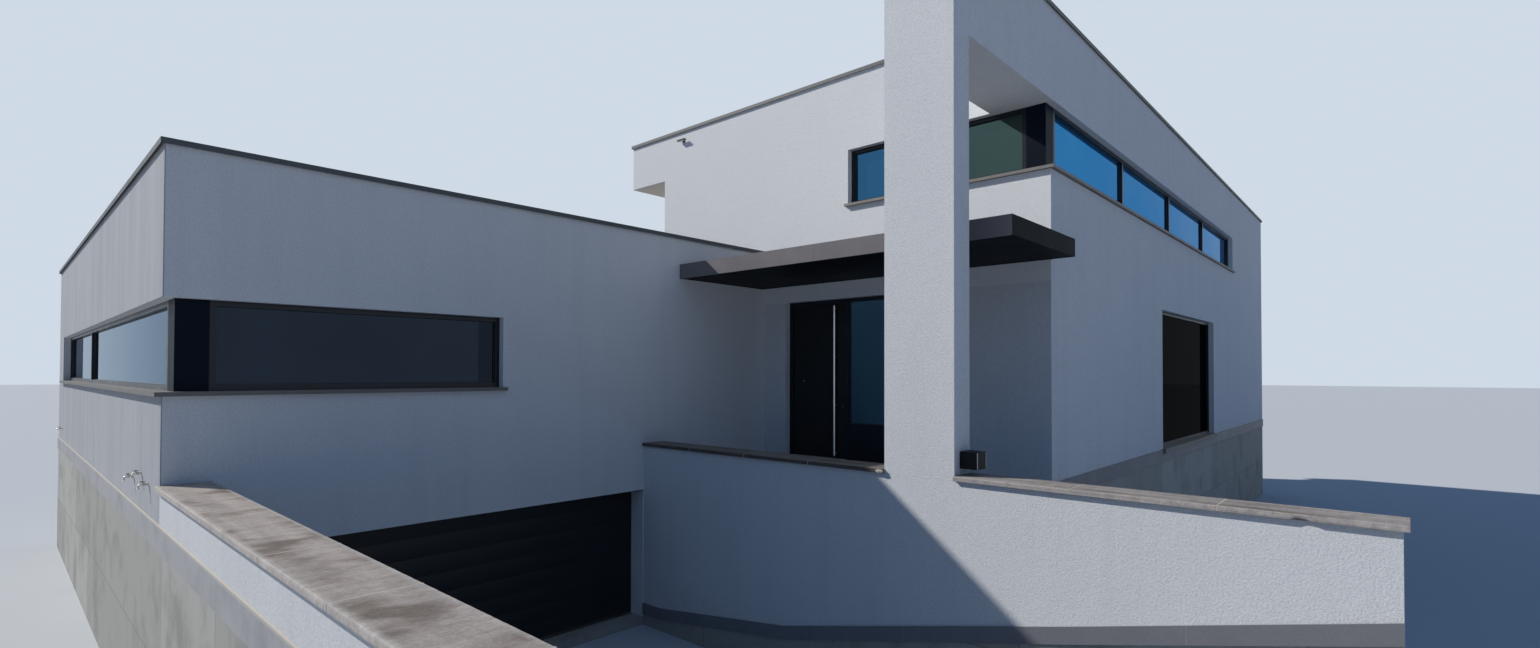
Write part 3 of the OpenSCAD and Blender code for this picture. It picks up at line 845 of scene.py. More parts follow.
# A darker, bluer copy of the anthracite coat: partly painted shade and painted sky reflection.
POST_COAT = CoatedAluminium(
    "coated_post_aluminium", colour="0C1422", dust="172131", sheen=0.45, gloss=0.06
)
DOOR_COAT = CoatedAluminium(
    "coated_door_aluminium", colour="0F1317", dust="1B1F24", sheen=0.36, gloss=0.3
)
GARAGE_COAT = CoatedAluminium(
    "coated_garage_steel", colour="14191F", dust="20252B", sheen=0.48, gloss=0.3
)
LAMP_COAT = CoatedAluminium(
    "coated_lamp_aluminium", colour="0F1215", dust="1E2125", sheen=0.5, gloss=0.2
)
STEEL = BrushedSteel("brushed_steel")
BAR_STEEL = BrushedSteel("brushed_bar_steel", colour="DEDFE0")
# A dark copy of the steel for the lock under the canopy: painted shade.
LOCK_STEEL = BrushedSteel("brushed_lock_steel", colour="55585C")
NICKEL = NickelledBrass("nickelled_brass")
WING_GLASS = CoatedGlass("coated_wing_glass", colour="232A33", film="2D353F", slant="9ABBD6")
# Beyond the wing's panes each group's tint is painted reflection: the shaded wall's teal on the
# sidelight, near-black on the terrace panes, sky blue on the upper and landing panes, trees' green on
# the corner pane.
SIDE_GLASS = CoatedGlass(
    "coated_sidelight_glass_painted_reflection", colour="446573", film="537688", slant="7C9CAC", clear=0.25
)
TERRACE_GLASS = CoatedGlass(
    "coated_terrace_glass_painted_reflection", colour="0D1114", film="151A1E", slant="232A2F", coat=0.96, clear=0.1
)
UPPER_GLASS = CoatedGlass(
    "coated_upper_glass_painted_reflection", colour="3C7FB4", film="5B97C4", slant="9CC3E2", coat=0.9, clear=0.3
)
LANDING_GLASS = CoatedGlass(
    "coated_landing_glass_painted_reflection", colour="2F6288", film="3F7292", slant="6F99B4", coat=0.85, clear=0.3
)
CORNER_GLASS = CoatedGlass(
    "coated_corner_glass_painted_reflection", colour="40524F", film="536661", slant="7D928E", coat=0.85, clear=0.3
)
MEMBRANE = RoofMembrane("bitumen_membrane")
SCREED = OiledScreed("oiled_screed")
RUBBER = SealRubber("seal_rubber")
OPAL = OpalAcrylic("opal_acrylic")

SOLID_FINISHES: dict[Finish, tuple[str, ...]] = {
    WALL_RENDER: (
        "wing_front_wall", "wing_left_wall", "wing_back_wall", "wing_right_wall",
        "entrance_wall_left", "entrance_wall_right", "south_wall", "east_wall",
        "north_wall", "portal_beam", "pylon",
    ),
    UPPER_RENDER: ("upper_west_wall", "roof_band"),
    RAMP_RENDER: ("right_retaining_wall", "left_retaining_wall"),
    BASE_COAT: ("base_strip",),
    CONCRETE: ("garage_floor", "wing_basement_walls", "house_foundation", "ramp_footings"),
    SCREED: ("ground_floor", "first_floor"),
    MEMBRANE: ("wing_roof", "main_roof"),
    TRIM_COAT: ("wing_roof_trim", "main_roof_trim", "garage_door_trim"),
    CANOPY_COAT: ("canopy",),
    FRAME_COAT: ("ground_window_frames", "upper_window_frames", "door_frame"),
    POST_COAT: ("corner_posts",),
    DOOR_COAT: ("front_door",),
    GARAGE_COAT: ("garage_door",),
    LAMP_COAT: ("wall_lamps",),
    BAR_STEEL: ("door_pull_bar",),
    NICKEL: ("garden_taps",),
    WING_GLASS: ("ground_window_glass", "sidelight_glass"),
    UPPER_GLASS: ("upper_window_glass",),
    STONE: ("stone_plinths", "retaining_copings"),
    SILL_STONE: ("upper_window_sills",),
    SHADED_SILL_STONE: ("ground_window_sills",),
}


def ends(name: str) -> tuple[Array, Array]:
    """Gives the lowest and highest corner of a solid's node as arrays."""
    low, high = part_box(name)
    return np.array(low), np.array(high)


def mesh_corners(name: str) -> Array:
    """Gives the corners of a node's mesh, a row each."""
    mesh = frame["nodes"][name].data
    flat = np.zeros(len(mesh.vertices) * 3)
    mesh.vertices.foreach_get("co", flat)
    return flat.reshape(-1, 3)


def placed(axis: int, across: Array, along: Array, up: Array) -> Array:
    """Puts places together as points. A single number counts for every point.

    Args:
        axis: The flat axis of the first places, 0 or 1.
        across: Places along that axis.
        along: Places along the other flat axis.
        up: Heights.

    Returns:
        The points, a row each.
    """
    flat = (along, across) if axis else (across, along)
    return np.stack(np.broadcast_arrays(*flat, up), axis=-1)


def solids(name: str) -> tuple[Array, Array]:
    """Finds the boxes of the separate solids in one node.

    Corners at the same place share a label, and each label sinks to the lowest one that
    shares a face with it, until none changes. Corners with one label are one solid.

    Args:
        name: The node.

    Returns:
        The lowest corners and the highest corners, a row for each solid.
    """
    mesh = frame["nodes"][name].data
    mesh.calc_loop_triangles()
    corners = np.zeros(len(mesh.loop_triangles) * 3, int)
    mesh.loop_triangles.foreach_get("vertices", corners)
    spots, spot = np.unique(np.round(mesh_corners(name), 5), axis=0, return_inverse=True)
    faces = spot.ravel()[corners.reshape(-1, 3)]
    label = np.arange(len(spots))
    while True:
        sunk = label.copy()
        np.minimum.at(sunk, faces, label[faces].min(1)[:, None])
        if (sunk == label).all():
            break
        label = sunk
    groups = [spots[label == kept] for kept in np.unique(label)]
    return np.array([g.min(0) for g in groups]), np.array([g.max(0) for g in groups])


class Shell:
    """Closed surfaces gathered as arrays, to become the mesh of one piece."""

    def __init__(self) -> None:
        """Starts empty."""
        self._points: list[Array] = []
        self._faces: list[Array] = []
        self._count = 0

    def add(self, points: Array, *faces: Array) -> "Shell":
        """Adds one surface.

        Args:
            points: Its points, in metres.
            faces: Arrays of faces with one number of corners each, counted from its points.

        Returns:
            This shell.
        """
        flat = np.asarray(points, float).reshape(-1, 3)
        self._points.append(flat)
        self._faces.extend(np.asarray(rows) + self._count for rows in faces)
        self._count += len(flat)
        return self

    def boxes(self, lows: Array, highs: Array) -> "Shell":
        """Adds a box for each pair of corners.

        Each corner is the low one plus none or all of the size along each axis.

        Args:
            lows: The lowest corners, a row each.
            highs: The highest corners, a row each.

        Returns:
            This shell.
        """
        lows, highs = np.atleast_2d(lows), np.atleast_2d(highs)
        points = lows[:, None] + BOX_CORNERS * (highs - lows)[:, None]
        first = len(BOX_CORNERS) * np.arange(len(lows))
        return self.add(points, (BOX_FACES + first[:, None, None]).reshape(-1, 4))

    def tube(self, rings: Array, closed: bool = False) -> "Shell":
        """Adds the skin through a row of rings.

        Quads join each ring to the next one, and a face with all its corners closes each end.

        Args:
            rings: Points as ring, place on the ring, and X, Y, Z.
            closed: Whether the last ring meets the first one.

        Returns:
            This shell.
        """
        count, around = rings.shape[:2]
        index = np.arange(count * around).reshape(count, around)
        before = index if closed else index[:-1]
        after = np.roll(index, -1, axis=0) if closed else index[1:]
        quads = np.stack(
            [before, np.roll(before, -1, axis=1), np.roll(after, -1, axis=1), after], axis=-1
        ).reshape(-1, 4)
        caps = () if closed else (index[:1], index[-1:])
        return self.add(rings, quads, *caps)

    def swept(self, outline: Array, origins: Array, across: Array, up: Array) -> "Shell":
        """Adds an outline carried along a path.

        Each point is the path's point plus the outline's first number along across and its
        second along up.

        Args:
            outline: The outline's points, or one such outline for each point of the path.
            origins: The path's points.
            across: The direction of the outline's first number.
            up: The direction of its second number.

        Returns:
            This shell.
        """
        origins = np.asarray(origins, float)
        outlines = np.broadcast_to(outline, (len(origins), *np.shape(outline)[-2:]))
        rings = (
            origins[:, None]
            + outlines[..., :1] * np.asarray(across, float)
            + outlines[..., 1:] * np.asarray(up, float)
        )
        return self.tube(rings)

    def lathe(self, outline: Array, centre: Array, axis: Array, steps: int = 24) -> "Shell":
        """Adds a turned shape.

        Each outline point turns round the axis: centre + height * axis + radius * (cosine of
        the turn times one side vector + its sine times the other).

        Args:
            outline: Radius and height of each point, from one end to the other.
            centre: The point at height 0.
            axis: The direction of the height.
            steps: How many points make a turn.

        Returns:
            This shell.
        """
        axis = np.asarray(axis, float) / np.linalg.norm(axis)
        side = np.cross(axis, np.eye(3)[np.argmin(np.abs(axis))])
        side /= np.linalg.norm(side)
        other = np.cross(axis, side)
        turn = np.linspace(0, 2 * math.pi, steps, endpoint=False)
        spokes = np.cos(turn)[:, None] * side + np.sin(turn)[:, None] * other
        radius, height = np.asarray(outline, float).T
        rings = (
            np.asarray(centre, float)
            + height[:, None, None] * axis
            + radius[:, None, None] * spokes
        )
        return self.tube(rings)

    def pipe(self, path: Array, radius: float, steps: int = 16) -> "Shell":
        """Adds a round pipe along a flat path.

        The ring at each point lies across the path there: the path's slope is the difference
        of its neighbours, one side vector stands on the path's plane and the other across.

        Args:
            path: The centre line's points, all in one plane.
            radius: The pipe's outer radius.
            steps: How many points make a ring.

        Returns:
            This shell.
        """
        path = np.asarray(path, float)
        slope = np.gradient(path, axis=0)
        slope /= np.linalg.norm(slope, axis=1, keepdims=True)
        spread = np.cross(path[0] - path[len(path) // 2], path[-1] - path[len(path) // 2])
        spread /= np.linalg.norm(spread)
        other = np.cross(slope, spread)
        turn = np.linspace(0, 2 * math.pi, steps, endpoint=False)[None, :, None]
        rings = path[:, None] + radius * (np.cos(turn) * spread + np.sin(turn) * other[:, None])
        return self.tube(rings)

    def mitred(self, low: Array, high: Array, axis: int, outline: Array) -> "Shell":
        """Adds a bar that runs round a rectangle with mitred corners.

        Each corner's points are the rectangle's corner moved inwards along both sides by the
        outline's first number, and along the axis by its second.

        Args:
            low: The lowest corner of the rectangle.
            high: Its highest corner.
            axis: The axis that the rectangle faces along.
            outline: The bar's outline, as the way inwards and the way along the axis.

        Returns:
            This shell.
        """
        first, second = [a for a in range(3) if a != axis]
        inward, depth = np.asarray(outline, float).T
        rings = np.zeros((4, len(inward), 3))
        turns = ((0, 0), (1, 0), (1, 1), (0, 1))
        for ring, (far_first, far_second) in zip(rings, turns):
            ring[:, first] = (high if far_first else low)[first] + inward * (1 - 2 * far_first)
            ring[:, second] = (high if far_second else low)[second] + inward * (1 - 2 * far_second)
            ring[:, axis] = low[axis] + depth
        return self.tube(rings, closed=True)

    def piece(
        self,
        name: str,
        finish: Finish,
        slot: Slot,
        body: Body = Body.HOUSE,
        arris: float = 0.0,
        replaced: Iterable[str] = (),
    ) -> bpy.types.Object:
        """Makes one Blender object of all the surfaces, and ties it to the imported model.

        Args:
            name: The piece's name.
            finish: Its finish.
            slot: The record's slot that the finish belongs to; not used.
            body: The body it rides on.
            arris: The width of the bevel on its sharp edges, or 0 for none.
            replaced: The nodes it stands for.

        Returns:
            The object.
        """
        points = np.concatenate(self._points)
        corners = np.concatenate([rows.ravel() for rows in self._faces])
        sizes = np.concatenate([np.full(len(rows), rows.shape[1]) for rows in self._faces])
        mesh = bpy.data.meshes.new(name)
        mesh.vertices.add(len(points))
        mesh.vertices.foreach_set("co", points.astype(np.float32).ravel())
        mesh.loops.add(len(corners))
        mesh.loops.foreach_set("vertex_index", corners.astype(np.int32))
        mesh.polygons.add(len(sizes))
        starts = np.concatenate([[0], np.cumsum(sizes)[:-1]])
        mesh.polygons.foreach_set("loop_start", starts.astype(np.int32))
        mesh.update(calc_edges=True)
        turned = bmesh.new()
        turned.from_mesh(mesh)
        bmesh.ops.recalc_face_normals(turned, faces=turned.faces)
        turned.to_mesh(mesh)
        turned.free()
        mesh.polygons.foreach_set("use_smooth", np.ones(len(sizes), bool))
        mesh.set_sharp_from_angle(angle=SMOOTH_ANGLE)
        mesh.materials.append(finish.material())
        made = bpy.data.objects.new(name, mesh)
        bpy.context.scene.collection.objects.link(made)
        if arris:
            bevel = made.modifiers.new("arris", "BEVEL")
            bevel.width = arris
            bevel.segments = ARRIS_STEPS
            bevel.limit_method = "ANGLE"
            bevel.harden_normals = True
        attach(made, body.value)
        if replaced:
            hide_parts(*replaced)
        LOG.info("%s: %d faces on %s", name, len(sizes), body.value)
        return made


def arc(centre: tuple[float, float], radius: float, start: float, stop: float, steps: int) -> Array:
    """Gives points on an arc: the centre plus the radius times cosine and sine.

    Args:
        centre: The arc's centre.
        radius: Its radius.
        start: The first angle, in degrees.
        stop: The last angle, in degrees.
        steps: How many points it has.

    Returns:
        The points, a row each.
    """
    turn = np.radians(np.linspace(start, stop, steps))
    return np.array(centre) + radius * np.stack([np.cos(turn), np.sin(turn)], axis=-1)


@dataclass
class Solids:
    """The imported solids, which keep their shape and get their finish."""

    def dress(self) -> None:
        """Puts each finish on the material slots of its nodes."""
        for finish, names in SOLID_FINISHES.items():
            for name in names:
                solid = frame["nodes"][name]
                if not solid.data.materials:
                    solid.data.materials.append(None)
                for held in solid.material_slots:
                    held.material = finish.material()
        LOG.info("finished %d solids", len(frame["nodes"]))


@dataclass
class Copings:
    """Coping stones on the walls beside the ramp, worn round at their edges."""

    arris: float = 9 * MM
    foot_arris: float = 1 * MM
    arris_points: int = 5
    crown_inset: float = 60 * MM
    end_inset: float = 3 * MM
    station: float = 40 * MM
    drip_w: float = 10 * MM
    drip_d: float = 7 * MM
    drip_edge: float = 14 * MM
    wear: float = 0.9 * MM
    wear_skew: float = 3.0
    wear_waves: tuple[float, float] = (31.0, 73.0)
    phase_step: float = 1.7
    joint_drop: float = 2 * MM
    joint_most: float = 12 * MM
    chip_x: float = -9.0
    chip_y: float = -11.092
    chip_half: float = 0.075
    chip_points: int = 9
    chip_d: float = 14 * MM
    chip_in: float = 0.4

    def outline(self, width: float, height: float) -> Array:
        """Draws a stone's cross-section, with round top edges and a drip groove each side.

        Args:
            width: The stone's width.
            height: The stone's height.

        Returns:
            Points across and up, from the middle of the stone's bottom.
        """
        half, foot, count = width / 2, self.foot_arris, self.arris_points
        groove = half - self.drip_edge
        crown = np.linspace(half - self.crown_inset, self.crown_inset - half, count)
        return np.concatenate([
            [(-half, foot), (foot - half, 0)],
            [(-groove, 0), (-groove, self.drip_d)],
            [(self.drip_w - groove, self.drip_d), (self.drip_w - groove, 0)],
            [(groove - self.drip_w, 0), (groove - self.drip_w, self.drip_d)],
            [(groove, self.drip_d), (groove, 0)],
            [(half - foot, 0), (half, foot)],
            arc((half - self.arris, height - self.arris), self.arris, 0, 90, count),
            np.stack([crown, np.full(count, height)], axis=-1),
            arc((self.arris - half, height - self.arris), self.arris, 90, 180, count),
        ])

    def stone(self, shell: Shell, low: Array, high: Array, phase: float) -> None:
        """Adds one stone along Y, drawn in at its ends and worn along its edges.

        The outline shrinks towards its middle over the last few millimetres. Wear moves each
        point by sines of its place along the stone, most at the outline's far sides. A chip in
        one stone lifts the lower left edge by a parabola of the distance from its middle.

        Args:
            shell: The shell that gets the stone.
            low: The stone's lowest corner.
            high: Its highest corner.
            phase: Where this stone's sines start.
        """
        width, length, height = high - low
        inner = np.arange(self.station, length - self.station, self.station)
        near = np.array([0, self.end_inset / 3, self.end_inset])
        along = np.concatenate([near, inner, length - near[::-1]])
        chipped = low[0] > self.chip_x and low[1] < self.chip_y < high[1]
        if chipped:
            broken = self.chip_half * np.linspace(-1, 1, self.chip_points)
            along = np.union1d(along, self.chip_y - low[1] + broken)
        near_end = np.minimum(along, length - along)
        inset = self.end_inset * np.clip(1 - near_end / self.end_inset, 0, 1)
        outline = self.outline(width, height)
        middle = np.array([0, height / 2])
        grow = 1 - inset[:, None, None] / np.array([width / 2, height / 2])
        rings = middle + (outline - middle) * grow
        place = low[1] + along[:, None] + outline[:, 0] * self.wear_skew
        broad, fine = self.wear_waves
        ripple = np.sin(place * broad + phase) + np.sin(place * fine + 2 * phase)
        worn = self.wear / 2 * (1 + ripple / 2)
        rings[..., 0] -= np.sign(outline[:, 0]) * worn
        rings[..., 1] -= (outline[:, 1] > height / 2) * worn
        if chipped:
            away = (low[1] + along - self.chip_y) / self.chip_half
            lift = self.chip_d * np.clip(1 - away**2, 0, 1)[:, None]
            close = 2 * self.foot_arris
            edge = (outline[:, 0] < close - width / 2) & (outline[:, 1] < close)
            rings[..., 0] += lift * edge * self.chip_in
            rings[..., 1] += lift * edge
        middle_x = (low[0] + high[0]) / 2
        shell.swept(rings, placed(0, middle_x, low[1] + along, low[2]), X_WAY, UP)

    def build(self) -> None:
        """Makes the stones of both walls and the mortar in their joints."""
        lows, highs = solids("retaining_copings")
        ramp_left = ends("left_retaining_wall")[1][0]
        right = lows[:, 0] > ramp_left
        shaded = right & (lows[:, 1] > ends("pylon")[0][1])
        rows = {"left": ~right, "right": right & ~shaded, "middle": shaded}
        colours = {
            "left": {"colour": "A49B95", "stain": "6C615A", "rim": "B8B2AE", "stain_share": 0.85},
            "right": {
                "colour": "99928F", "stain": "6E645F", "rim": "B5AFAC", "rim_w": 0.014,
                "layer_low": 0.72, "blot": (4.0, 0.8, 1.0),
            },
            # The middle row lies in shade between the wing and the pylon; its darker colours and the
            # dark rim on its sides are painted shade.
            "middle": {
                "colour": "6F6A68", "stain": "4E4946", "rim": "343231", "rim_w": 0.006,
                "blot": (4.0, 0.8, 1.0),
            },
        }
        for side, kept in rows.items():
            shell = Shell()
            for number, (low, high) in enumerate(zip(lows[kept], highs[kept])):
                self.stone(shell, low, high, self.phase_step * number)
            low, high = lows[kept].min(0), highs[kept].max(0)
            finish = WeatheredCoping(
                f"weathered_{side}_coping", centre_x=(low[0] + high[0]) / 2,
                half_w=(high[0] - low[0]) / 2, **colours[side],
            )
            stood_for = ("retaining_copings",) if side == "left" else ()
            shell.piece(f"{side}_coping_stones", finish, Slot.COPING_STONE, replaced=stood_for)
            self.joints(side, lows[kept], highs[kept])

    def joints(self, side: str, lows: Array, highs: Array) -> None:
        """Fills the gaps between the stones of one wall with mortar, a little set back.

        Args:
            side: The wall's side, for the piece's name.
            lows: The stones' lowest corners.
            highs: Their highest corners.
        """
        order = np.argsort(lows[:, 1])
        lows, highs = lows[order], highs[order]
        gaps = lows[1:, 1] - highs[:-1, 1]
        close = gaps < self.joint_most
        sunk = np.array([self.joint_drop, -self.end_inset, 0])
        start = placed(0, lows[:-1, 0], highs[:-1, 1], lows[:-1, 2])[close] + sunk
        stop = placed(0, highs[:-1, 0], lows[1:, 1], highs[:-1, 2] - MM)[close] - sunk
        # The shaded middle row takes the darker mortar: painted shade.
        finish = BASE_MORTAR if side == "middle" else PALE_MORTAR
        Shell().boxes(start, stop).piece(f"{side}_coping_mortar", finish, Slot.COPING_STONE)


@dataclass
class Windows:
    """Glass, spacers, seals and drain caps of all the windows."""

    sheet_t: float = 6 * MM
    bite: float = 12 * MM
    seal_w: float = 6 * MM
    seal_t: float = 4 * MM
    spacer_w: float = 12 * MM
    spacer_from: float = 9 * MM
    cap_l: float = 42 * MM
    cap_h: float = 9 * MM
    cap_t: float = 4 * MM
    cap_rise: float = 16 * MM
    cap_step: float = 1.2

    def build(self) -> None:
        """Makes the glazing of both storeys and of the sidelight."""
        lows, highs = solids("ground_window_glass")
        tall = highs[:, 2] - lows[:, 2] > TALL_FROM
        for title, finish, kept in (
            ("wing_window", WING_GLASS, ~tall), ("terrace_window", TERRACE_GLASS, tall),
        ):
            self.glazing(title, "ground_window_frames", "ground_window_glass", finish, kept)
        lows, highs = solids("upper_window_glass")
        landing = highs[:, 0] < ends("upper_west_wall")[1][0]
        corner = landing & (lows[:, 1] == lows[landing, 1].min())
        for title, finish, kept in (
            ("upper_window", UPPER_GLASS, ~landing), ("corner_window", CORNER_GLASS, corner),
            ("landing_window", LANDING_GLASS, landing & ~corner),
        ):
            self.glazing(title, "upper_window_frames", "upper_window_glass", finish, kept)
        self.glazing("sidelight", "door_frame", "sidelight_glass", SIDE_GLASS)

    def glazing(
        self, title: str, frames: str, glass: str, finish: CoatedGlass,
        kept: Array | slice = slice(None),
    ) -> None:
        """Makes two sheets, a spacer, two seals and drain caps for each pane of a node.

        Args:
            title: The start of the pieces' names.
            frames: The node of the frames.
            glass: The node of the panes.
            finish: The finish of the panes.
            kept: Which of the node's panes are made here.
        """
        sheets, spacers, seals, caps = Shell(), Shell(), Shell(), Shell()
        frame_lows, frame_highs = solids(frames)
        lows, highs = solids(glass)
        for low, high in zip(lows[kept], highs[kept]):
            axis = int(np.argmin(high - low))
            depth = high[axis] - low[axis]
            holds = ((frame_lows <= low + MM) & (frame_highs >= high - MM)).all(1)
            around_low, around_high = frame_lows[holds][0], frame_highs[holds][0]
            outer_high = around_low[axis] + around_high[axis] > low[axis] + high[axis]
            step = np.zeros(3)
            step[axis] = depth - self.sheet_t
            sheets.boxes([low, low + step], [high - step, high])
            spacers.mitred(low, high, axis, [
                (self.spacer_from, self.sheet_t), (self.spacer_from, depth - self.sheet_t),
                (self.spacer_from + self.spacer_w, depth - self.sheet_t),
                (self.spacer_from + self.spacer_w, self.sheet_t),
            ])
            for face, way in ((0.0, -1.0), (depth, 1.0)):
                seals.mitred(low, high, axis, [
                    (self.bite - MM, face), (self.bite - MM, face + way * self.seal_t),
                    (self.bite + self.seal_w / 2, face + way * self.seal_t),
                    (self.bite + self.seal_w, face + way * MM), (self.bite + self.seal_w, face),
                ])
            self.drains(caps, low, high, axis, around_low, around_high, outer_high)
        slot = Slot.WINDOW_GLASS
        sheets.piece(f"{title}_panes", finish, slot, replaced=(glass,))
        spacers.piece(f"{title}_spacers", STEEL, slot)
        seals.piece(f"{title}_seals", RUBBER, Slot.WINDOW_FRAME)
        caps.piece(f"{title}_drain_caps", FRAME_COAT, Slot.WINDOW_FRAME, arris=MM)

    def drains(
        self, caps: Shell, low: Array, high: Array, axis: int,
        around_low: Array, around_high: Array, outer_high: bool,
    ) -> None:
        """Adds caps over the drain slots in the frame's bottom rail, on its outer face.

        Args:
            caps: The shell that gets them.
            low: The pane's lowest corner.
            high: Its highest corner.
            axis: The axis the pane faces along.
            around_low: The frame's lowest corner.
            around_high: The frame's highest corner.
            outer_high: Whether the frame's outer face is its high one.
        """
        run = 1 - axis
        count = max(2, int((high[run] - low[run]) // self.cap_step))
        inset = 3 * self.cap_l
        spots = np.linspace(low[run] + inset, high[run] - inset, count)
        face = around_high[axis] if outer_high else around_low[axis] - self.cap_t
        start = placed(axis, face, spots - self.cap_l / 2, around_low[2] + self.cap_rise)
        caps.boxes(start, start + placed(axis, self.cap_t, self.cap_l, self.cap_h))


@dataclass
class Garage:
    """Sectional door at the foot of the ramp, with its seals, lining and reveals."""

    count: int = 4
    rib_d: float = 0.6 * MM
    rib_w: float = 5 * MM
    ribs: int = 1
    joint: float = 3 * MM
    finger_r: float = 3 * MM
    seal_h: float = 32 * MM
    seal_w: float = 14 * MM
    foot_w: float = 6 * MM
    lip: float = 12 * MM
    lining_t: float = 12 * MM
    sheet_t: float = 2 * MM
    reveal_r: float = 5 * MM
    sill_d: float = 38 * MM
    sill_h: float = 7 * MM

    def build(self) -> None:
        """Makes the sections, their seals, the sill rail, the lining and the reveals."""
        self.sections()
        self.seals()
        self.sill()
        self.lining()

    def sill(self) -> None:
        """Lays a sloped rail in front of the door's foot."""
        low, high = ends("garage_door")
        deep, tall = self.sill_d, self.sill_h
        outline = [(0, 0), (-deep, 0), (-deep, tall / 3), (-deep / 4, tall), (0, tall)]
        front, inset = low[1] - self.seal_w, self.lining_t
        Shell().swept(
            outline, [(low[0] + inset, front, low[2]), (high[0] - inset, front, low[2])],
            Y_WAY, UP,
        ).piece("garage_sill_rail", STEEL, Slot.GARAGE_PANEL)

    def lining(self) -> None:
        """Folds a dark sheet under the lintel and renders the reveals at the door's sides. The
        sheet's dark partly stands in for the lintel's shaded underside: painted shade.

        The sheet is a channel carried along X. Each reveal is a slab with a round front edge,
        carried up from the floor to the sheet.
        """
        low, high = ends("garage_door_trim")
        t, sheet, deep, r = self.lining_t, self.sheet_t, high[1] - low[1], self.reveal_r
        channel = [
            (0, 0), (0, -t), (sheet, -t), (sheet, -sheet), (deep - sheet, -sheet),
            (deep - sheet, -t), (deep, -t), (deep, 0),
        ]
        # Dark sheet under the lintel: partly painted shade.
        Shell().swept(
            channel, [(low[0], low[1], high[2]), (high[0], low[1], high[2])], Y_WAY, UP
        ).piece("garage_head_lining", DOOR_COAT, Slot.ROOF_TRIM, replaced=("garage_door_trim",))
        slab = np.concatenate([[(0, 0)], arc((t - r, r), r, -90, 0, 5), [(t, deep), (0, deep)]])
        shell, top = Shell(), high[2] - sheet
        for x, way in ((low[0], 1), (high[0], -1)):
            shell.swept(slab, [(x, low[1], low[2]), (x, low[1], top)], (way, 0, 0), Y_WAY)
        shell.piece("garage_side_reveals", RAMP_RENDER, Slot.WHITE_RENDER)

    def sections(self) -> None:
        """Makes the sections with rounded joints and shallow ribs, carried along the door."""
        low, high = ends("garage_door")
        shell = Shell()
        step = (high[2] - low[2]) / self.count
        depth, r = high[1] - low[1], self.finger_r
        for number in range(self.count):
            bottom = low[2] + number * step + self.joint / 2
            top = bottom + step - self.joint
            grooves = np.linspace(bottom, top, self.ribs + 2)[1:-1]
            ribs = np.concatenate([[
                (0.0, z - self.rib_w), (self.rib_d, z - self.rib_w / 3),
                (self.rib_d, z + self.rib_w / 3), (0.0, z + self.rib_w),
            ] for z in grooves])
            outline = np.concatenate([
                [(depth, bottom)], arc((r, bottom + r), r, 270, 180, 5), ribs,
                arc((r, top - r), r, 180, 90, 5), [(depth, top)],
            ])
            shell.swept(outline, [(low[0], low[1], 0), (high[0], low[1], 0)], Y_WAY, UP)
        shell.piece("garage_sections", GARAGE_COAT, Slot.GARAGE_PANEL, replaced=("garage_door",))

    def seals(self) -> None:
        """Makes the rubber foot of the door and the seals at its sides and head."""
        low, high = ends("garage_door")
        left, right, w = low[0] + self.lip, high[0] - self.lip, self.seal_w
        foot, head = low[2], ends("garage_door_trim")[1][2] - self.lip
        back, front = low[1], low[1] - w
        Shell().boxes(
            [(left, back - self.foot_w, foot), (left, front, foot), (right - w, front, foot),
             (left, front, head - w)],
            [(right, back, foot + self.seal_h), (left + w, back, head), (right, back, head),
             (right, back, head)],
        ).piece("garage_seals", RUBBER, Slot.GARAGE_PANEL, arris=2 * MM)


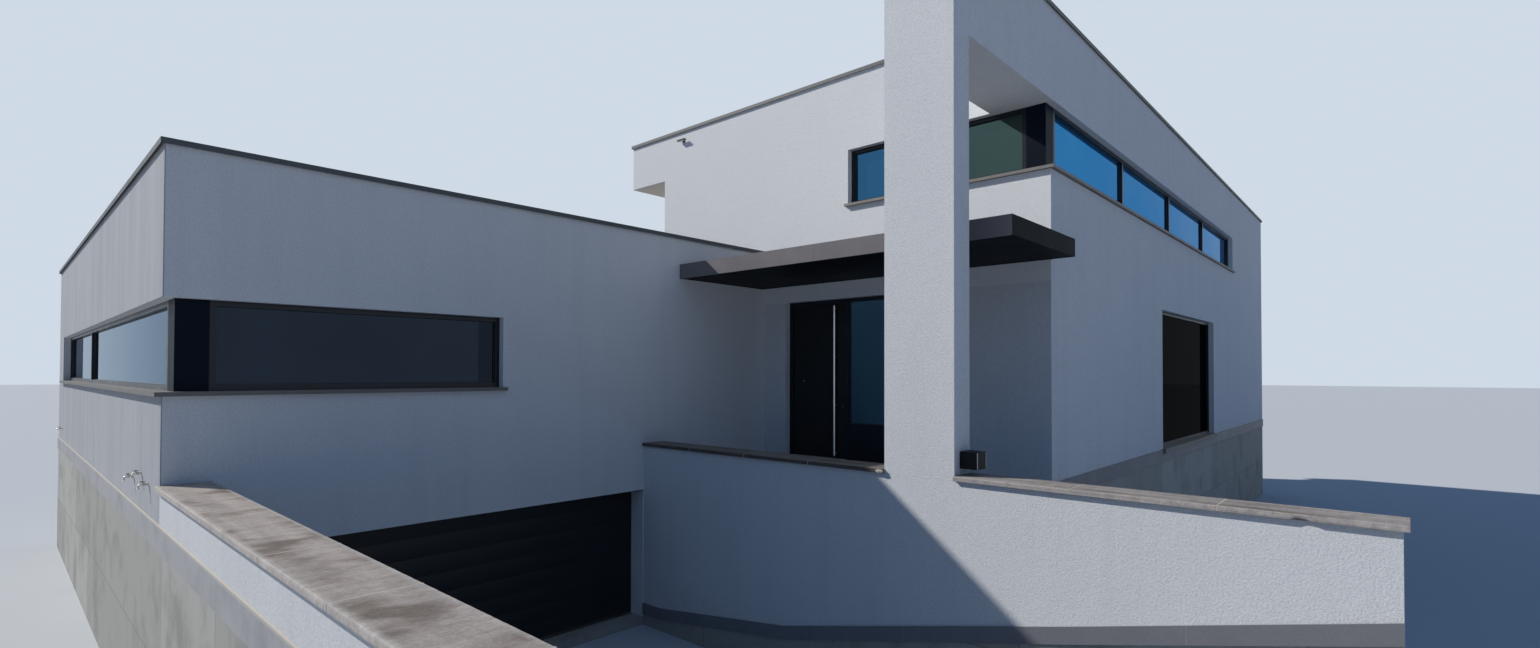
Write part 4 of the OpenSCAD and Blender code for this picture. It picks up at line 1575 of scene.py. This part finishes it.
@dataclass
class Entrance:
    """Lock, viewer, hinges, threshold and bar ends of the front door."""

    lock_from_edge: float = 56 * MM
    lock_rise: float = 0.93
    viewer_from_hinge: float = 262 * MM
    viewer_rise: float = 1.375
    rose_r: float = 26 * MM
    hinge_r: float = 8.5 * MM
    hinge_l: float = 125 * MM
    hinge_gap: float = 12 * MM
    hinge_shares: Triple = (0.1, 0.5, 0.9)
    threshold_h: float = 4 * MM
    threshold_drop: float = 10 * MM
    ribs: int = 5

    def build(self) -> None:
        """Makes the fittings on the leaf and on the frame."""
        self.lock()
        self.viewer()
        self.hinges()
        self.threshold()
        self.bar_ends()

    def lock(self) -> None:
        """Makes the round rose and the keyhole body near the leaf's free edge."""
        low, _ = ends("front_door")
        centre = (low[0], low[1] + self.lock_from_edge, low[2] + self.lock_rise)
        rose = [(self.rose_r, 0), (self.rose_r, 3 * MM), (self.rose_r - 2 * MM, 5 * MM),
                (11 * MM, 5.5 * MM), (11 * MM, 5.2 * MM)]
        plug = [(8.5 * MM, 4 * MM), (8.5 * MM, 8 * MM), (7.5 * MM, 9 * MM), (1 * MM, 9 * MM)]
        shell = Shell().lathe(rose, centre, OUT, 32).lathe(plug, centre, OUT, 24)
        shell.piece("door_lock", LOCK_STEEL, Slot.STAINLESS_STEEL, Body.DOOR)

    def viewer(self) -> None:
        """Makes the door viewer, a small turned ring."""
        low, high = ends("front_door")
        centre = (low[0], high[1] - self.viewer_from_hinge, low[2] + self.viewer_rise)
        ring = [(11 * MM, 0), (11 * MM, 2 * MM), (9 * MM, 4 * MM), (6 * MM, 4 * MM), (5 * MM, 2 * MM),
                (0.5 * MM, 3 * MM)]
        shell = Shell().lathe(ring, centre, OUT)
        shell.piece("door_viewer", STEEL, Slot.STAINLESS_STEEL, Body.DOOR)

    def hinges(self) -> None:
        """Makes three barrel hinges inside, beside the leaf's hinged edge."""
        low, high = ends("front_door")
        shell = Shell()
        r, half = self.hinge_r, self.hinge_l / 2
        outline = [(r - 2 * MM, -half), (r, 2 * MM - half), (r, -1 * MM), (r - MM, 0), (r, 1 * MM),
                   (r, half - 2 * MM), (r - 2 * MM, half)]
        for share in self.hinge_shares:
            height = low[2] + share * (high[2] - low[2])
            shell.lathe(outline, (high[0] + self.hinge_gap, high[1], height), UP, 20)
        shell.piece("door_hinges", STEEL, Slot.STAINLESS_STEEL)

    def threshold(self) -> None:
        """Makes the ribbed threshold plate under the leaf."""
        low, high = ends("front_door")
        floor = low[2] - self.threshold_drop
        depth = high[0] - low[0]
        across = np.linspace(0, depth, 4 * self.ribs + 1)
        tops = floor + self.threshold_h - MM * (np.arange(len(across)) // 2 % 2)
        outline = np.concatenate([
            [(0, floor)], np.stack([across, tops], axis=-1), [(depth, floor)],
        ])
        Shell().swept(
            outline, [(low[0], low[1] + MM, 0), (low[0], high[1] - MM, 0)], X_WAY, UP
        ).piece("door_threshold", STEEL, Slot.STAINLESS_STEEL)

    def bar_ends(self) -> None:
        """Makes the domed caps of the pull bar."""
        low, high = ends("door_pull_bar")
        centre_y = (low[1] + high[1]) / 2
        radius = (high[1] - low[1]) / 2
        centre_x = low[0] + radius
        dome = [(radius - 0.5 * MM, 0), (radius - MM, 1.5 * MM), (radius * 0.8, 4 * MM),
                (radius * 0.4, 5.5 * MM), (0.5 * MM, 6 * MM)]
        shell = Shell()
        shell.lathe(dome, (centre_x, centre_y, high[2]), UP, 32)
        shell.lathe(dome, (centre_x, centre_y, low[2]), DOWN, 32)
        shell.piece("pull_bar_caps", STEEL, Slot.STAINLESS_STEEL, Body.DOOR)


@dataclass
class Roofs:
    """Membrane rolls, upstands and outlets of both flat roofs, and the overhang's soffit."""

    roll_w: float = 1.0
    lap: float = 0.1
    sheet_t: float = 5 * MM
    second_share: float = 0.6
    head_gap: float = 8 * MM
    outlet_r: float = 0.11
    outlet_in: float = 0.6
    outlet_shares: tuple[float, float] = (0.25, 0.75)
    guard_shares: tuple[float, float] = (0.6, 0.7)
    wires: int = 6
    wire_r: float = 3 * MM
    wall_t: float = 0.38
    soffit_t: float = 8 * MM
    soffit_lip: float = 5 * MM

    def build(self) -> None:
        """Makes the rolls and upstands of each roof, their outlets and the soffit."""
        low, high = ends("wing_roof")
        high[0] = ends("wing_right_wall")[0][0]
        self.rolls("wing", low, high, ends("wing_front_wall")[1][2])
        low, high = ends("main_roof")
        _, band_back, band_top = ends("roof_band")[1]
        high[1] = band_back - self.wall_t
        self.rolls("house", low, high, band_top)
        self.soffit()

    def soffit(self) -> None:
        """Closes the overhang behind the main house from below.

        The sheet has a shallow drip groove along its free edge, and is carried along X.
        """
        low, high = ends("roof_band")
        wall, level = ends("north_wall")[1][1], ends("main_roof")[0][2]
        free, t, lip = high[1] - self.soffit_lip - wall, self.soffit_t, self.soffit_lip
        outline = [
            (0, 0), (0, -t), (free - 5 * lip, -t), (free - 5 * lip, -t / 2), (free - 3 * lip, -t / 2),
            (free - 3 * lip, -t), (free, -t), (free, 0),
        ]
        Shell().swept(
            outline, [(low[0] + lip, wall, level), (high[0] - lip, wall, level)], Y_WAY, UP
        ).piece("overhang_soffit", SOFFIT_RENDER, Slot.WHITE_RENDER)

    def rolls(self, title: str, low: Array, high: Array, parapet_z: float) -> None:
        """Lays rolls along Y over a roof, each lapped over the one before, and lines its edges.

        A roll is a flat strip whose leading edge lies one sheet higher than its far edge.

        Args:
            title: The start of the pieces' names.
            low: The roof's lowest corner.
            high: Its highest corner.
            parapet_z: The top of the walls round it.
        """
        top, t = high[2], self.sheet_t
        rolls = Shell()
        count = math.ceil((high[0] - low[0]) / self.roll_w)
        step = (high[0] - low[0]) / count
        for number in range(count):
            start = low[0] + number * step
            width = min(step + self.lap, high[0] - start)
            outline = [(0, 0), (width, 0), (width, t), (0, 2 * t)]
            rolls.swept(outline, [(start, low[1], top), (start, high[1], top)], X_WAY, UP)
        rolls.piece(f"{title}_roof_rolls", MEMBRANE, Slot.ROOFING)
        self.upstands(title, low, high, top, parapet_z - self.head_gap)
        self.outlets(title, low, high, top + 2 * t)

    def upstands(self, title: str, low: Array, high: Array, foot: float, head: float) -> None:
        """Lines the inner faces of the parapets with lapped strips.

        Args:
            title: The start of the piece's name.
            low: The roof's lowest corner.
            high: Its highest corner.
            foot: The strips' foot.
            head: The strips' head.
        """
        shell = Shell()
        for axis in (0, 1):
            run = 1 - axis
            count = math.ceil((high[run] - low[run]) / self.roll_w)
            step = (high[run] - low[run]) / count
            starts = low[run] + step * np.arange(count)
            stops = np.minimum(starts + step + self.lap, high[run])
            thick = self.sheet_t * (1 + np.arange(count) % 2 * self.second_share)
            for far in (False, True):
                inner = high[axis] - thick if far else low[axis]
                outer = high[axis] if far else low[axis] + thick
                shell.boxes(placed(axis, inner, starts, foot), placed(axis, outer, stops, head))
        shell.piece(f"{title}_roof_upstands", MEMBRANE, Slot.ROOFING)

    def outlets(self, title: str, low: Array, high: Array, foot: float) -> None:
        """Makes two outlets with a flange and a domed leaf guard of bent wires.

        Args:
            title: The start of the piece's name.
            low: The roof's lowest corner.
            high: Its highest corner.
            foot: The height of the roof's face.
        """
        shell = Shell()
        r = self.outlet_r
        wide, tall = self.guard_shares
        flange = [(r, 0), (r, 3 * MM), (r * 0.75, 5 * MM), (r * 0.7, 1 * MM), (1 * MM, 1 * MM)]
        bend = arc((0, 0), 1, 0, 180, 13)
        rise = bend[:, 1:] * np.array([0, 0, r * tall])
        for share in self.outlet_shares:
            centre = np.array([low[0] + self.outlet_in, low[1] + share * (high[1] - low[1]), foot])
            shell.lathe(flange, centre, UP, 32)
            for turn in np.linspace(0, math.pi, self.wires, endpoint=False):
                spoke = np.array([math.cos(turn), math.sin(turn), 0])
                shell.pipe(centre + bend[:, :1] * spoke * r * wide + rise, self.wire_r, 8)
        shell.piece(f"{title}_roof_outlets", TRIM_COAT, Slot.ROOFING)


@dataclass
class Canopy:
    """Folded fascia sheets, soffit boards and tray lining of the entrance canopy."""

    sheet_t: float = 2 * MM
    lip: float = 22 * MM
    joint: float = 4 * MM
    edge: float = 30 * MM
    soffit_d: float = 12 * MM
    board_t: float = 8 * MM
    boards: int = 4
    tray_d: float = 60 * MM
    tray_t: float = 4 * MM
    tray_fall: float = 1 / 80
    tray_rows: int = 25
    slot: float = 70 * MM

    def build(self) -> None:
        """Makes the sheets of each side, the boards below and the lining above."""
        # The long side's paler coat is painted sunlight; the near-black of the other sheets is partly
        # painted shade.
        self.fascia("long", FASCIA_PAINTED_LIGHT_COAT)
        self.fascia("slot", CANOPY_COAT)
        self.end_sheet()
        self.soffit()
        self.tray()

    def box(self) -> tuple[Array, Array]:
        """Gives the canopy's lowest and highest corner, without the slot at the wall."""
        low, high = ends("canopy")
        return low, high - (self.slot, 0, 0)

    def fold(self, height: float) -> Array:
        """Draws a sheet folded over the top and under the bottom of the edge.

        Args:
            height: The edge's height.

        Returns:
            Points outwards and up, from the foot of the edge's face.
        """
        t, lip = self.sheet_t, self.lip
        return np.array([
            (-lip, -t), (t, -t), (t, height + t), (-lip, height + t), (-lip, height), (0, height),
            (0, 0), (-lip, 0),
        ])

    def fascia(self, side: str, finish: Finish) -> None:
        """Hangs two folded sheets along one long side.

        Args:
            side: The side's name, long or slot.
            finish: The sheets' finish.
        """
        low, high = self.box()
        shell = Shell()
        middle = (low[1] + high[1]) / 2
        face, outward = (low[0], -1) if side == "long" else (high[0], 1)
        for start, stop in (
            (low[1], middle - self.joint / 2), (middle + self.joint / 2, high[1] - self.joint),
        ):
            shell.swept(
                self.fold(high[2] - low[2]), [(face, start, low[2]), (face, stop, low[2])],
                (outward, 0, 0), UP,
            )
        shell.piece(f"canopy_{side}_fascia", finish, Slot.CANOPY_PANEL)

    def end_sheet(self) -> None:
        """Hangs one folded sheet over the free end."""
        low, high = self.box()
        t = self.sheet_t
        Shell().swept(
            self.fold(high[2] - low[2]),
            [(low[0] - t, low[1], low[2]), (high[0] + t, low[1], low[2])], (0, -1, 0), UP,
        ).piece("canopy_end_fascia", CANOPY_COAT, Slot.CANOPY_PANEL)

    def soffit(self) -> None:
        """Lays boards into the recess below, with open joints."""
        low, high = self.box()
        from_y, to_y = low[1] + self.edge, high[1] - self.edge
        step = (to_y - from_y) / self.boards
        start_y = from_y + step * np.arange(self.boards) + self.joint
        face = low[2] + self.soffit_d
        Shell().boxes(
            placed(0, low[0] + self.edge + self.joint, start_y, face - self.board_t),
            placed(0, high[0] - self.edge - self.joint, start_y + step - 2 * self.joint, face),
        ).piece("canopy_soffit_boards", CANOPY_COAT, Slot.CANOPY_PANEL, arris=1.5 * MM)

    def tray(self) -> None:
        """Lines the tray above with membrane, falling towards its wall end.

        The sheet's thickness is its least one plus half the fall over the way from its wall end.
        """
        low, high = self.box()
        run = np.linspace(low[1] + self.edge, high[1] - self.edge, self.tray_rows)
        outlines = np.zeros((self.tray_rows, 4, 2))
        outlines[:, 1:3, 0] = high[0] - low[0] - 2 * self.edge
        outlines[:, 2:, 1] = (self.tray_t + (run[-1] - run) * self.tray_fall / 2)[:, None]
        origins = placed(0, low[0] + self.edge, run, high[2] - self.tray_d)
        Shell().swept(outlines, origins, X_WAY, UP).piece(
            "canopy_tray_membrane", MEMBRANE, Slot.ROOFING
        )


@dataclass
class Trims:
    """Joint sleeves on the roof trims, beads in the render and joints in the plinths."""

    sheet_l: float = 2.5
    sleeve_w: float = 80 * MM
    sleeve_t: float = 1.2 * MM
    portal_w: float = 0.91
    plinth_l: float = 1.45
    grout_w: float = 5 * MM
    grout_t: float = 0.8 * MM
    hole_near: float = 0.3
    hole_clear: float = 0.05
    end_clear: float = 0.3
    ramp_from: float = 1.0
    foot_rise: float = 1 * MM
    stop_z: float = 2.803
    stop_run: tuple[float, float] = (2.26, 5.86)
    dab: Triple = (9 * MM, 55 * MM, 22 * MM)
    dab_rows: int = 13
    coat_t: float = 4 * MM
    bead_t: float = 2.5 * MM
    bead_h: float = 9 * MM

    def build(self) -> None:
        """Makes the sleeves, the beads, the mortar dab, the earth's coat and the joints."""
        west, south, _ = ends("roof_band")[0]
        north = ends("roof_band")[1][1]
        low, high = ends("wing_roof_trim")
        self.sleeves("wing", "wing_roof_trim", (
            (0, low[0], low[1], high[1]), (0, high[0], north, high[1]),
            (1, low[1], low[0], west), (1, high[1], low[0], high[0]),
        ))
        low, high = ends("main_roof_trim")
        self.sleeves("house", "main_roof_trim", (
            (0, west - (south - low[1]), south + self.portal_w, high[1]),
            (0, high[0], low[1], high[1]), (1, low[1], low[0], high[0]), (1, high[1], west, high[0]),
        ))
        self.beads()
        self.mortar_dab()
        self.earth_coat()
        self.plinth_joints()
        self.ramp_joints()

    def sleeves(self, title: str, trim: str, runs: Iterable[tuple[int, float, float, float]]) -> None:
        """Fits a sleeve over each joint of a roof trim, on its outer face.

        Args:
            title: The start of the piece's name.
            trim: The trim's node.
            runs: For each straight run the axis that it faces along, the place of its outer
                face there, and where it starts and stops along the other axis.
        """
        low, high = ends(trim)
        t = self.sleeve_t
        shell = Shell()
        for axis, face, first, last in runs:
            count = int((last - first) // self.sheet_l)
            spots = np.linspace(first, last, count + 2)[1:-1]
            inner = face - t if face < (low[axis] + high[axis]) / 2 else face
            start = placed(axis, inner, spots, low[2])
            shell.boxes(start, start + placed(axis, t, self.sleeve_w, high[2] - low[2] - t))
        shell.piece(f"{title}_trim_sleeves", TRIM_COAT, Slot.ROOF_TRIM, arris=0.4 * MM)

    def beads(self) -> None:
        """Makes the beads over the garage door, in the wing's front and at the pylon's foot."""
        wall_low = ends("wing_front_wall")[0]
        door_low, door_high = ends("garage_door_trim")
        y, stop_z = wall_low[1], self.stop_z
        stop_from, stop_to = (wall_low[0] + way for way in self.stop_run)
        foot_low, foot_high = ends("pylon")
        x, foot_z = foot_low[0], foot_low[2] + self.foot_rise
        Shell().boxes(
            [(door_low[0], y - self.bead_t, door_high[2] + 2 * MM), (stop_from, y - 1.2 * MM, stop_z),
             (x - 1.5 * MM, foot_low[1], foot_z)],
            [(door_high[0], y + MM, door_high[2] + self.bead_h), (stop_to, y + MM, stop_z + 5 * MM),
             (x + MM, foot_high[1], foot_z + 6 * MM)],
        ).piece("render_beads", WALL_RENDER, Slot.WHITE_RENDER, arris=0.5 * MM)

    def mortar_dab(self) -> None:
        """Presses mortar into the corner between the coping's end and the pylon.

        The dab's outline shrinks towards both ends by the root of 1 less the square of the
        way from its middle, and sines of the place make it lumpy.
        """
        corner = ends("pylon")[1]
        lows, _ = solids("retaining_copings")
        beside = lows[:, 0] > corner[0] - 1
        face, foot = lows[beside][:, 0].min(), lows[:, 2].min()
        way = np.linspace(-0.98, 0.98, self.dab_rows)
        size = np.sqrt(1 - way**2) * (1 + 0.12 * np.sin(7 * way))
        turn = np.linspace(0, 2 * math.pi, 14, endpoint=False)
        lump = np.stack([np.cos(turn) * self.dab[0], np.sin(turn) * self.dab[2]], axis=-1)
        lump = lump * (1 + 0.1 * np.sin(3 * turn))[:, None]
        middle = corner[1] + self.dab[1] * 0.8
        origins = placed(0, face, middle + way * self.dab[1], foot + self.dab[2] * 0.9)
        Shell().swept(lump * size[:, None, None], origins, X_WAY, UP).piece(
            "coping_end_mortar", BASE_COAT, Slot.COPING_STONE
        )

    def earth_coat(self) -> None:
        """Lays a cement coat on the face of the left ramp wall that the earth covers."""
        low, high = ends("left_retaining_wall")
        foot = ends("base_strip")[0][2]
        Shell().boxes(
            (low[0] - self.coat_t, low[1] + MM, low[2]), (low[0] + MM, high[1], foot)
        ).piece("earth_coat", CONCRETE, Slot.CONCRETE)

    def plinth_joints(self) -> None:
        """Draws grouted joints across the plinth round the main house."""
        lows, highs = solids("stone_plinths")
        widest = np.argmax((highs - lows)[:, 0])
        low, high = lows[widest], highs[widest]
        door_low, door_high = ends("door_frame")
        t, half = self.grout_t, self.grout_w / 2
        shell = Shell()
        openings = [
            box for box in zip(*solids("ground_window_frames"))
            if box[1][2] - box[0][2] > TALL_FROM
        ] + [(door_low, door_high)]
        for axis in (0, 1):
            run = 1 - axis
            count = int((high[run] - low[run]) // self.plinth_l)
            spots = np.linspace(low[run], high[run], count + 2)[1:-1]
            for face in (low[axis], high[axis]):
                clear = np.ones(count, bool)
                for hole_low, hole_high in openings:
                    if abs((hole_low[axis] + hole_high[axis]) / 2 - face) < self.hole_near:
                        clear &= (
                            (spots < hole_low[run] - self.hole_clear)
                            | (spots > hole_high[run] + self.hole_clear)
                        )
                if axis == 0 and face == low[axis]:
                    clear &= spots < door_low[1]
                free = spots[clear]
                shell.boxes(
                    placed(axis, face - t, free - half, low[2]),
                    placed(axis, face + t, free + half, high[2] + t),
                )
        shell.piece("plinth_joints", BASE_MORTAR, Slot.BLUESTONE)

    def ramp_joints(self) -> None:
        """Draws grouted joints across the ramp's plinths, between the ramp and their tops.

        The plinth's bottom and top heights at a joint are read between its corners.
        """
        shell = Shell()
        corners = mesh_corners("stone_plinths")
        for low, high in zip(*solids("stone_plinths")):
            if high[2] - low[2] < self.ramp_from:
                continue
            mine = corners[((corners >= low - MM) & (corners <= high + MM)).all(1)]
            run = np.unique(np.round(mine[:, 1], 4))
            near = [mine[np.abs(mine[:, 1] - y) < MM, 2] for y in run]
            spots = np.arange(low[1] + self.plinth_l, high[1] - self.end_clear, self.plinth_l)
            bottom = np.interp(spots, run, [z.min() for z in near])
            top = np.interp(spots, run, [z.max() for z in near])
            shell.boxes(
                placed(0, low[0] - self.grout_t, spots - self.grout_w / 2, bottom),
                placed(0, high[0] + self.grout_t, spots + self.grout_w / 2, top + self.grout_t),
            )
        shell.piece("ramp_plinth_joints", BASE_MORTAR, Slot.BLUESTONE)


@dataclass
class Lamps:
    """The box lamp at the pylon's foot and the bar lamp under the roof's edge."""

    bar: float = 8 * MM
    inset: float = 4 * MM
    cap_t: float = 7 * MM
    plate_t: float = 6 * MM
    arm_half: float = 14 * MM
    arm_shares: tuple[float, float] = (0.8, 0.2)
    head_t: float = 30 * MM
    head_w: float = 62 * MM
    sheet_inset: tuple[float, float] = (6 * MM, 8 * MM)
    sheet_drop: float = 3 * MM

    def build(self) -> None:
        """Makes both lamps: the box lamp with its housing and corner bars, the bar lamp with its
        housing and opal sheet.
        """
        boxes = sorted(zip(*solids("wall_lamps")), key=lambda box: box[0][2])
        self.box_lamp(*boxes[0])
        self.bar_lamp(*boxes[1])

    def box_lamp(self, low: Array, high: Array) -> None:
        """Makes a dark cube with pale corner bars between two caps.

        Args:
            low: The lamp's lowest corner.
            high: Its highest corner.
        """
        up = np.array([0, 0, self.cap_t])
        inset = np.array([self.inset, self.inset, 0])
        Shell().boxes(
            [low, (low[0], low[1], high[2] - self.cap_t), low + inset + up,
             (low[0], high[1] - self.plate_t, low[2])],
            [(high[0], high[1], low[2] + self.cap_t), high, high - inset - up, high],
        ).piece(
            "box_lamp_housing", LAMP_COAT, Slot.LAMP_HOUSING, arris=2 * MM,
            replaced=("wall_lamps",),
        )
        starts = np.array([
            (low[0], low[1], low[2] + self.cap_t),
            (high[0] - self.bar, low[1], low[2] + self.cap_t),
        ])
        size = np.array([self.bar, self.bar, high[2] - low[2] - 2 * self.cap_t])
        Shell().boxes(starts, starts + size).piece(
            "box_lamp_corners", STEEL, Slot.LAMP_HOUSING, arris=MM
        )

    def bar_lamp(self, low: Array, high: Array) -> None:
        """Makes a slim head on an arm from a wall plate, with an opal sheet below.

        Args:
            low: The lamp's lowest corner.
            high: Its highest corner.
        """
        middle, arm, top = (low[1] + high[1]) / 2, self.arm_half, high[2]
        front, back, below = low[0], low[0] + self.head_w, top - self.head_t
        arm_foot, arm_head = (top - share * self.head_t for share in self.arm_shares)
        Shell().boxes(
            [(front, low[1], below), (back - MM, middle - arm, arm_foot),
             (high[0] - self.plate_t, middle - 3 * arm, low[2])],
            [(back, high[1], top), (high[0], middle + arm, arm_head),
             (high[0], middle + 3 * arm, top)],
        ).piece("bar_lamp_housing", LAMP_COAT, Slot.LAMP_HOUSING, arris=2 * MM)
        side, end = self.sheet_inset
        Shell().boxes(
            (front + side, low[1] + end, below - self.sheet_drop),
            (back - side, high[1] - end, below + MM),
        ).piece("bar_lamp_sheet", OPAL, Slot.LAMP_HOUSING, arris=MM)


@dataclass
class Taps:
    """Garden taps on the wing's free side, each with a wall rose, a wheel and a hose end."""

    body_r: float = 11 * MM
    rose_r: float = 24 * MM
    wheel_r: float = 19 * MM
    pipe_r: float = 8 * MM
    drop: float = 15 * MM
    bend_r: float = 20 * MM
    bend_out: float = 66 * MM
    wheel_out: float = 49 * MM
    lobes: int = 6
    lobe_share: float = 0.06
    stem: float = 30 * MM

    def build(self) -> None:
        """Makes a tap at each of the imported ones."""
        metal, wheels = Shell(), Shell()
        for low, high in zip(*solids("garden_taps")):
            self.tap(metal, wheels, low, high)
        metal.piece("tap_bodies", NICKEL, Slot.TAP_METAL, replaced=("garden_taps",))
        wheels.piece("tap_wheels", TRIM_COAT, Slot.TAP_METAL)

    def tap(self, metal: Shell, wheels: Shell, low: Array, high: Array) -> None:
        """Adds one tap: turned rose and body, hexagonal nut, bent spout, ribbed end, wheel.

        Args:
            metal: The shell of the metal parts.
            wheels: The shell of the wheels.
            low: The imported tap's lowest corner.
            high: Its highest corner.
        """
        r, rose, pipe = self.body_r, self.rose_r, self.pipe_r
        wall = np.array([high[0], (low[1] + high[1]) / 2, high[2] - self.drop])
        out, up = np.array(OUT), np.array(UP)
        metal.lathe(
            [(rose, 0), (rose, 3 * MM), (rose * 0.8, 7 * MM), (r * 0.9, 9 * MM), (r * 0.9, 22 * MM)],
            wall, out, 28,
        )
        metal.lathe([(r * 1.45, 22 * MM), (r * 1.45, 34 * MM)], wall, out, 6)
        metal.lathe(
            [(r, 34 * MM), (r * 1.15, 40 * MM), (r * 1.15, 58 * MM), (r * 0.8, 66 * MM),
             (r * 0.8, 72 * MM)], wall, out, 28,
        )
        bend = arc((0, 0), self.bend_r, 90, 0, 9)
        path = wall + out * self.bend_out - up * self.bend_r + bend[:, :1] * out + bend[:, 1:] * up
        path[:, 0] = np.maximum(path[:, 0], low[0] + 1.3 * pipe)
        metal.pipe(path, pipe, 18)
        ribs = [(pipe, 0), (pipe * 1.25, 4 * MM), (pipe * 1.25, 12 * MM), (pipe, 13 * MM),
                (pipe, 17 * MM), (pipe * 1.15, 18 * MM), (pipe * 0.8, 26 * MM)]
        metal.lathe(ribs, path[-1], DOWN, 20)
        top = wall + out * self.wheel_out
        metal.lathe(
            [(r * 0.8, r * 0.8), (r * 0.8, r * 1.5), (4 * MM, r * 1.7), (4 * MM, self.stem)],
            top, UP, 20,
        )
        rim = arc((self.wheel_r, self.stem), 4 * MM, 0, 360, 13)[:-1]
        turn = np.linspace(0, 2 * math.pi, 28, endpoint=False)
        swell = 1 + self.lobe_share * np.cos(self.lobes * turn)
        spokes = np.stack([np.cos(turn), np.sin(turn), np.zeros_like(turn)], axis=-1)
        wide = swell[:, None, None] * rim[:, :1] * spokes[:, None]
        wheels.tube(top + wide + rim[:, 1:] * up, closed=True)
        wheel, stem = self.wheel_r, self.stem
        wheels.lathe(
            [(wheel, stem - 2 * MM), (wheel, stem + 1 * MM), (5 * MM, stem + 3 * MM),
             (5 * MM, stem + 6 * MM), (1 * MM, stem + 7 * MM)], top, UP, 28,
        )


@dataclass
class Studio:
    """Camera, lamp, backdrop colour and floor."""

    eye: Triple = (-15.280, -11.760, 4.0785)
    yaw: float = 42.06
    pitch: float = 0.85
    roll: float = -0.13
    sensor: float = 36.0
    lens: float = 16.565
    shift_x: float = 0.0003
    shift_y: float = 0.025
    clip: tuple[float, float] = (0.05, 2000.0)
    sun_from: Triple = (-0.52, 1.0, 0.8)
    sun_power: float = 3.84
    sun_colour: str = "FFFAF2"
    sun_spread: float = 0.9
    fill: float = 0.262
    fill_colour: str = "90C0FF"
    backdrop: str = "CFDAE6"
    floor_colour: str = "C6CACE"
    floor_half: float = 300.0

    def build(self) -> None:
        """Makes everything that isn't the house."""
        bpy.context.scene.view_settings.view_transform = "Standard"
        self.camera()
        self.light()
        self.floor()

    def camera(self) -> None:
        """Stands the camera where the photo was taken, with its angle and lens."""
        data = bpy.data.cameras.new("camera")
        data.sensor_width = self.sensor
        data.lens = self.lens
        data.shift_x = self.shift_x
        data.shift_y = self.shift_y
        data.clip_start, data.clip_end = self.clip
        made = bpy.data.objects.new("camera", data)
        yaw, pitch = math.radians(self.yaw), math.radians(self.pitch)
        ahead = Vector((
            math.cos(pitch) * math.cos(yaw), math.cos(pitch) * math.sin(yaw), math.sin(pitch),
        ))
        made.rotation_mode = "QUATERNION"
        made.rotation_quaternion = (
            Quaternion(ahead, math.radians(self.roll)) @ ahead.to_track_quat("-Z", "Y")
        )
        made.location = self.eye
        bpy.context.scene.collection.objects.link(made)
        bpy.context.scene.camera = made

    def light(self) -> None:
        """Lights the house with one soft lamp and an even fill, before a plain backdrop."""
        lamp = bpy.data.lights.new("key_lamp", "SUN")
        lamp.energy = self.sun_power
        lamp.color = linear(self.sun_colour)[:3]
        lamp.angle = math.radians(self.sun_spread)
        made = bpy.data.objects.new("key_lamp", lamp)
        made.rotation_mode = "QUATERNION"
        made.rotation_quaternion = (-Vector(self.sun_from)).to_track_quat("-Z", "Y")
        bpy.context.scene.collection.objects.link(made)
        world = bpy.data.worlds.new("studio")
        world.use_nodes = True
        tree = world.node_tree
        tree.nodes.clear()
        paths = node(tree, "ShaderNodeLightPath")
        seen = node(tree, "ShaderNodeMath", {
            0: paths.outputs["Is Camera Ray"], 1: paths.outputs["Is Glossy Ray"],
        }, operation="MAXIMUM").outputs[0]
        shown = node(tree, "ShaderNodeMath", {
            0: seen, 1: paths.outputs["Is Transmission Ray"],
        }, operation="MAXIMUM").outputs[0]
        fill = node(tree, "ShaderNodeBackground", {
            "Color": linear(self.fill_colour), "Strength": self.fill,
        }).outputs[0]
        sheet = node(tree, "ShaderNodeBackground", {
            "Color": linear(self.backdrop), "Strength": 1.0,
        }).outputs[0]
        mixed = node(tree, "ShaderNodeMixShader", {0: shown, 1: fill, 2: sheet}).outputs[0]
        node(tree, "ShaderNodeOutputWorld", {"Surface": mixed})
        bpy.context.scene.world = world

    def floor(self) -> None:
        """Lays the plain pale floor that the house stands on."""
        half = self.floor_half
        corners = [(-half, -half), (half, -half), (half, half), (-half, half)]
        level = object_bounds()[0][2]
        mesh = bpy.data.meshes.new("studio_floor")
        mesh.from_pydata([(x, y, level) for x, y in corners], [], [(0, 1, 2, 3)])
        made = bpy.data.objects.new("studio_floor", mesh)
        bpy.context.scene.collection.objects.link(made)
        material = bpy.data.materials.new("studio_floor")
        material.use_nodes = True
        tree = material.node_tree
        tree.nodes.clear()
        shader = node(tree, "ShaderNodeBsdfPrincipled", {
            "Base Color": linear(self.floor_colour), "Roughness": 0.95,
            "Specular IOR Level": 0.1,
        })
        node(tree, "ShaderNodeOutputMaterial", {"Surface": shader.outputs[0]})
        mesh.materials.append(material)
        made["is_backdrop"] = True


def clear_startup() -> None:
    """Removes what a new Blender file holds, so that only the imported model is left."""
    kept = set(frame["nodes"].values()) | set(frame["bodies"].values())
    for held in list(bpy.data.objects):
        if held not in kept:
            bpy.data.objects.remove(held)


def main() -> None:
    """Builds and dresses the house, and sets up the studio."""
    logging.basicConfig(level=logging.INFO, format="%(name)s %(message)s")
    clear_startup()
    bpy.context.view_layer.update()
    Solids().dress()
    Studio().build()
    parts = (
        Copings(), Windows(), Garage(), Entrance(), Roofs(), Canopy(), Trims(), Lamps(), Taps(),
    )
    for part in parts:
        part.build()


if __name__ == "__main__":
    main()
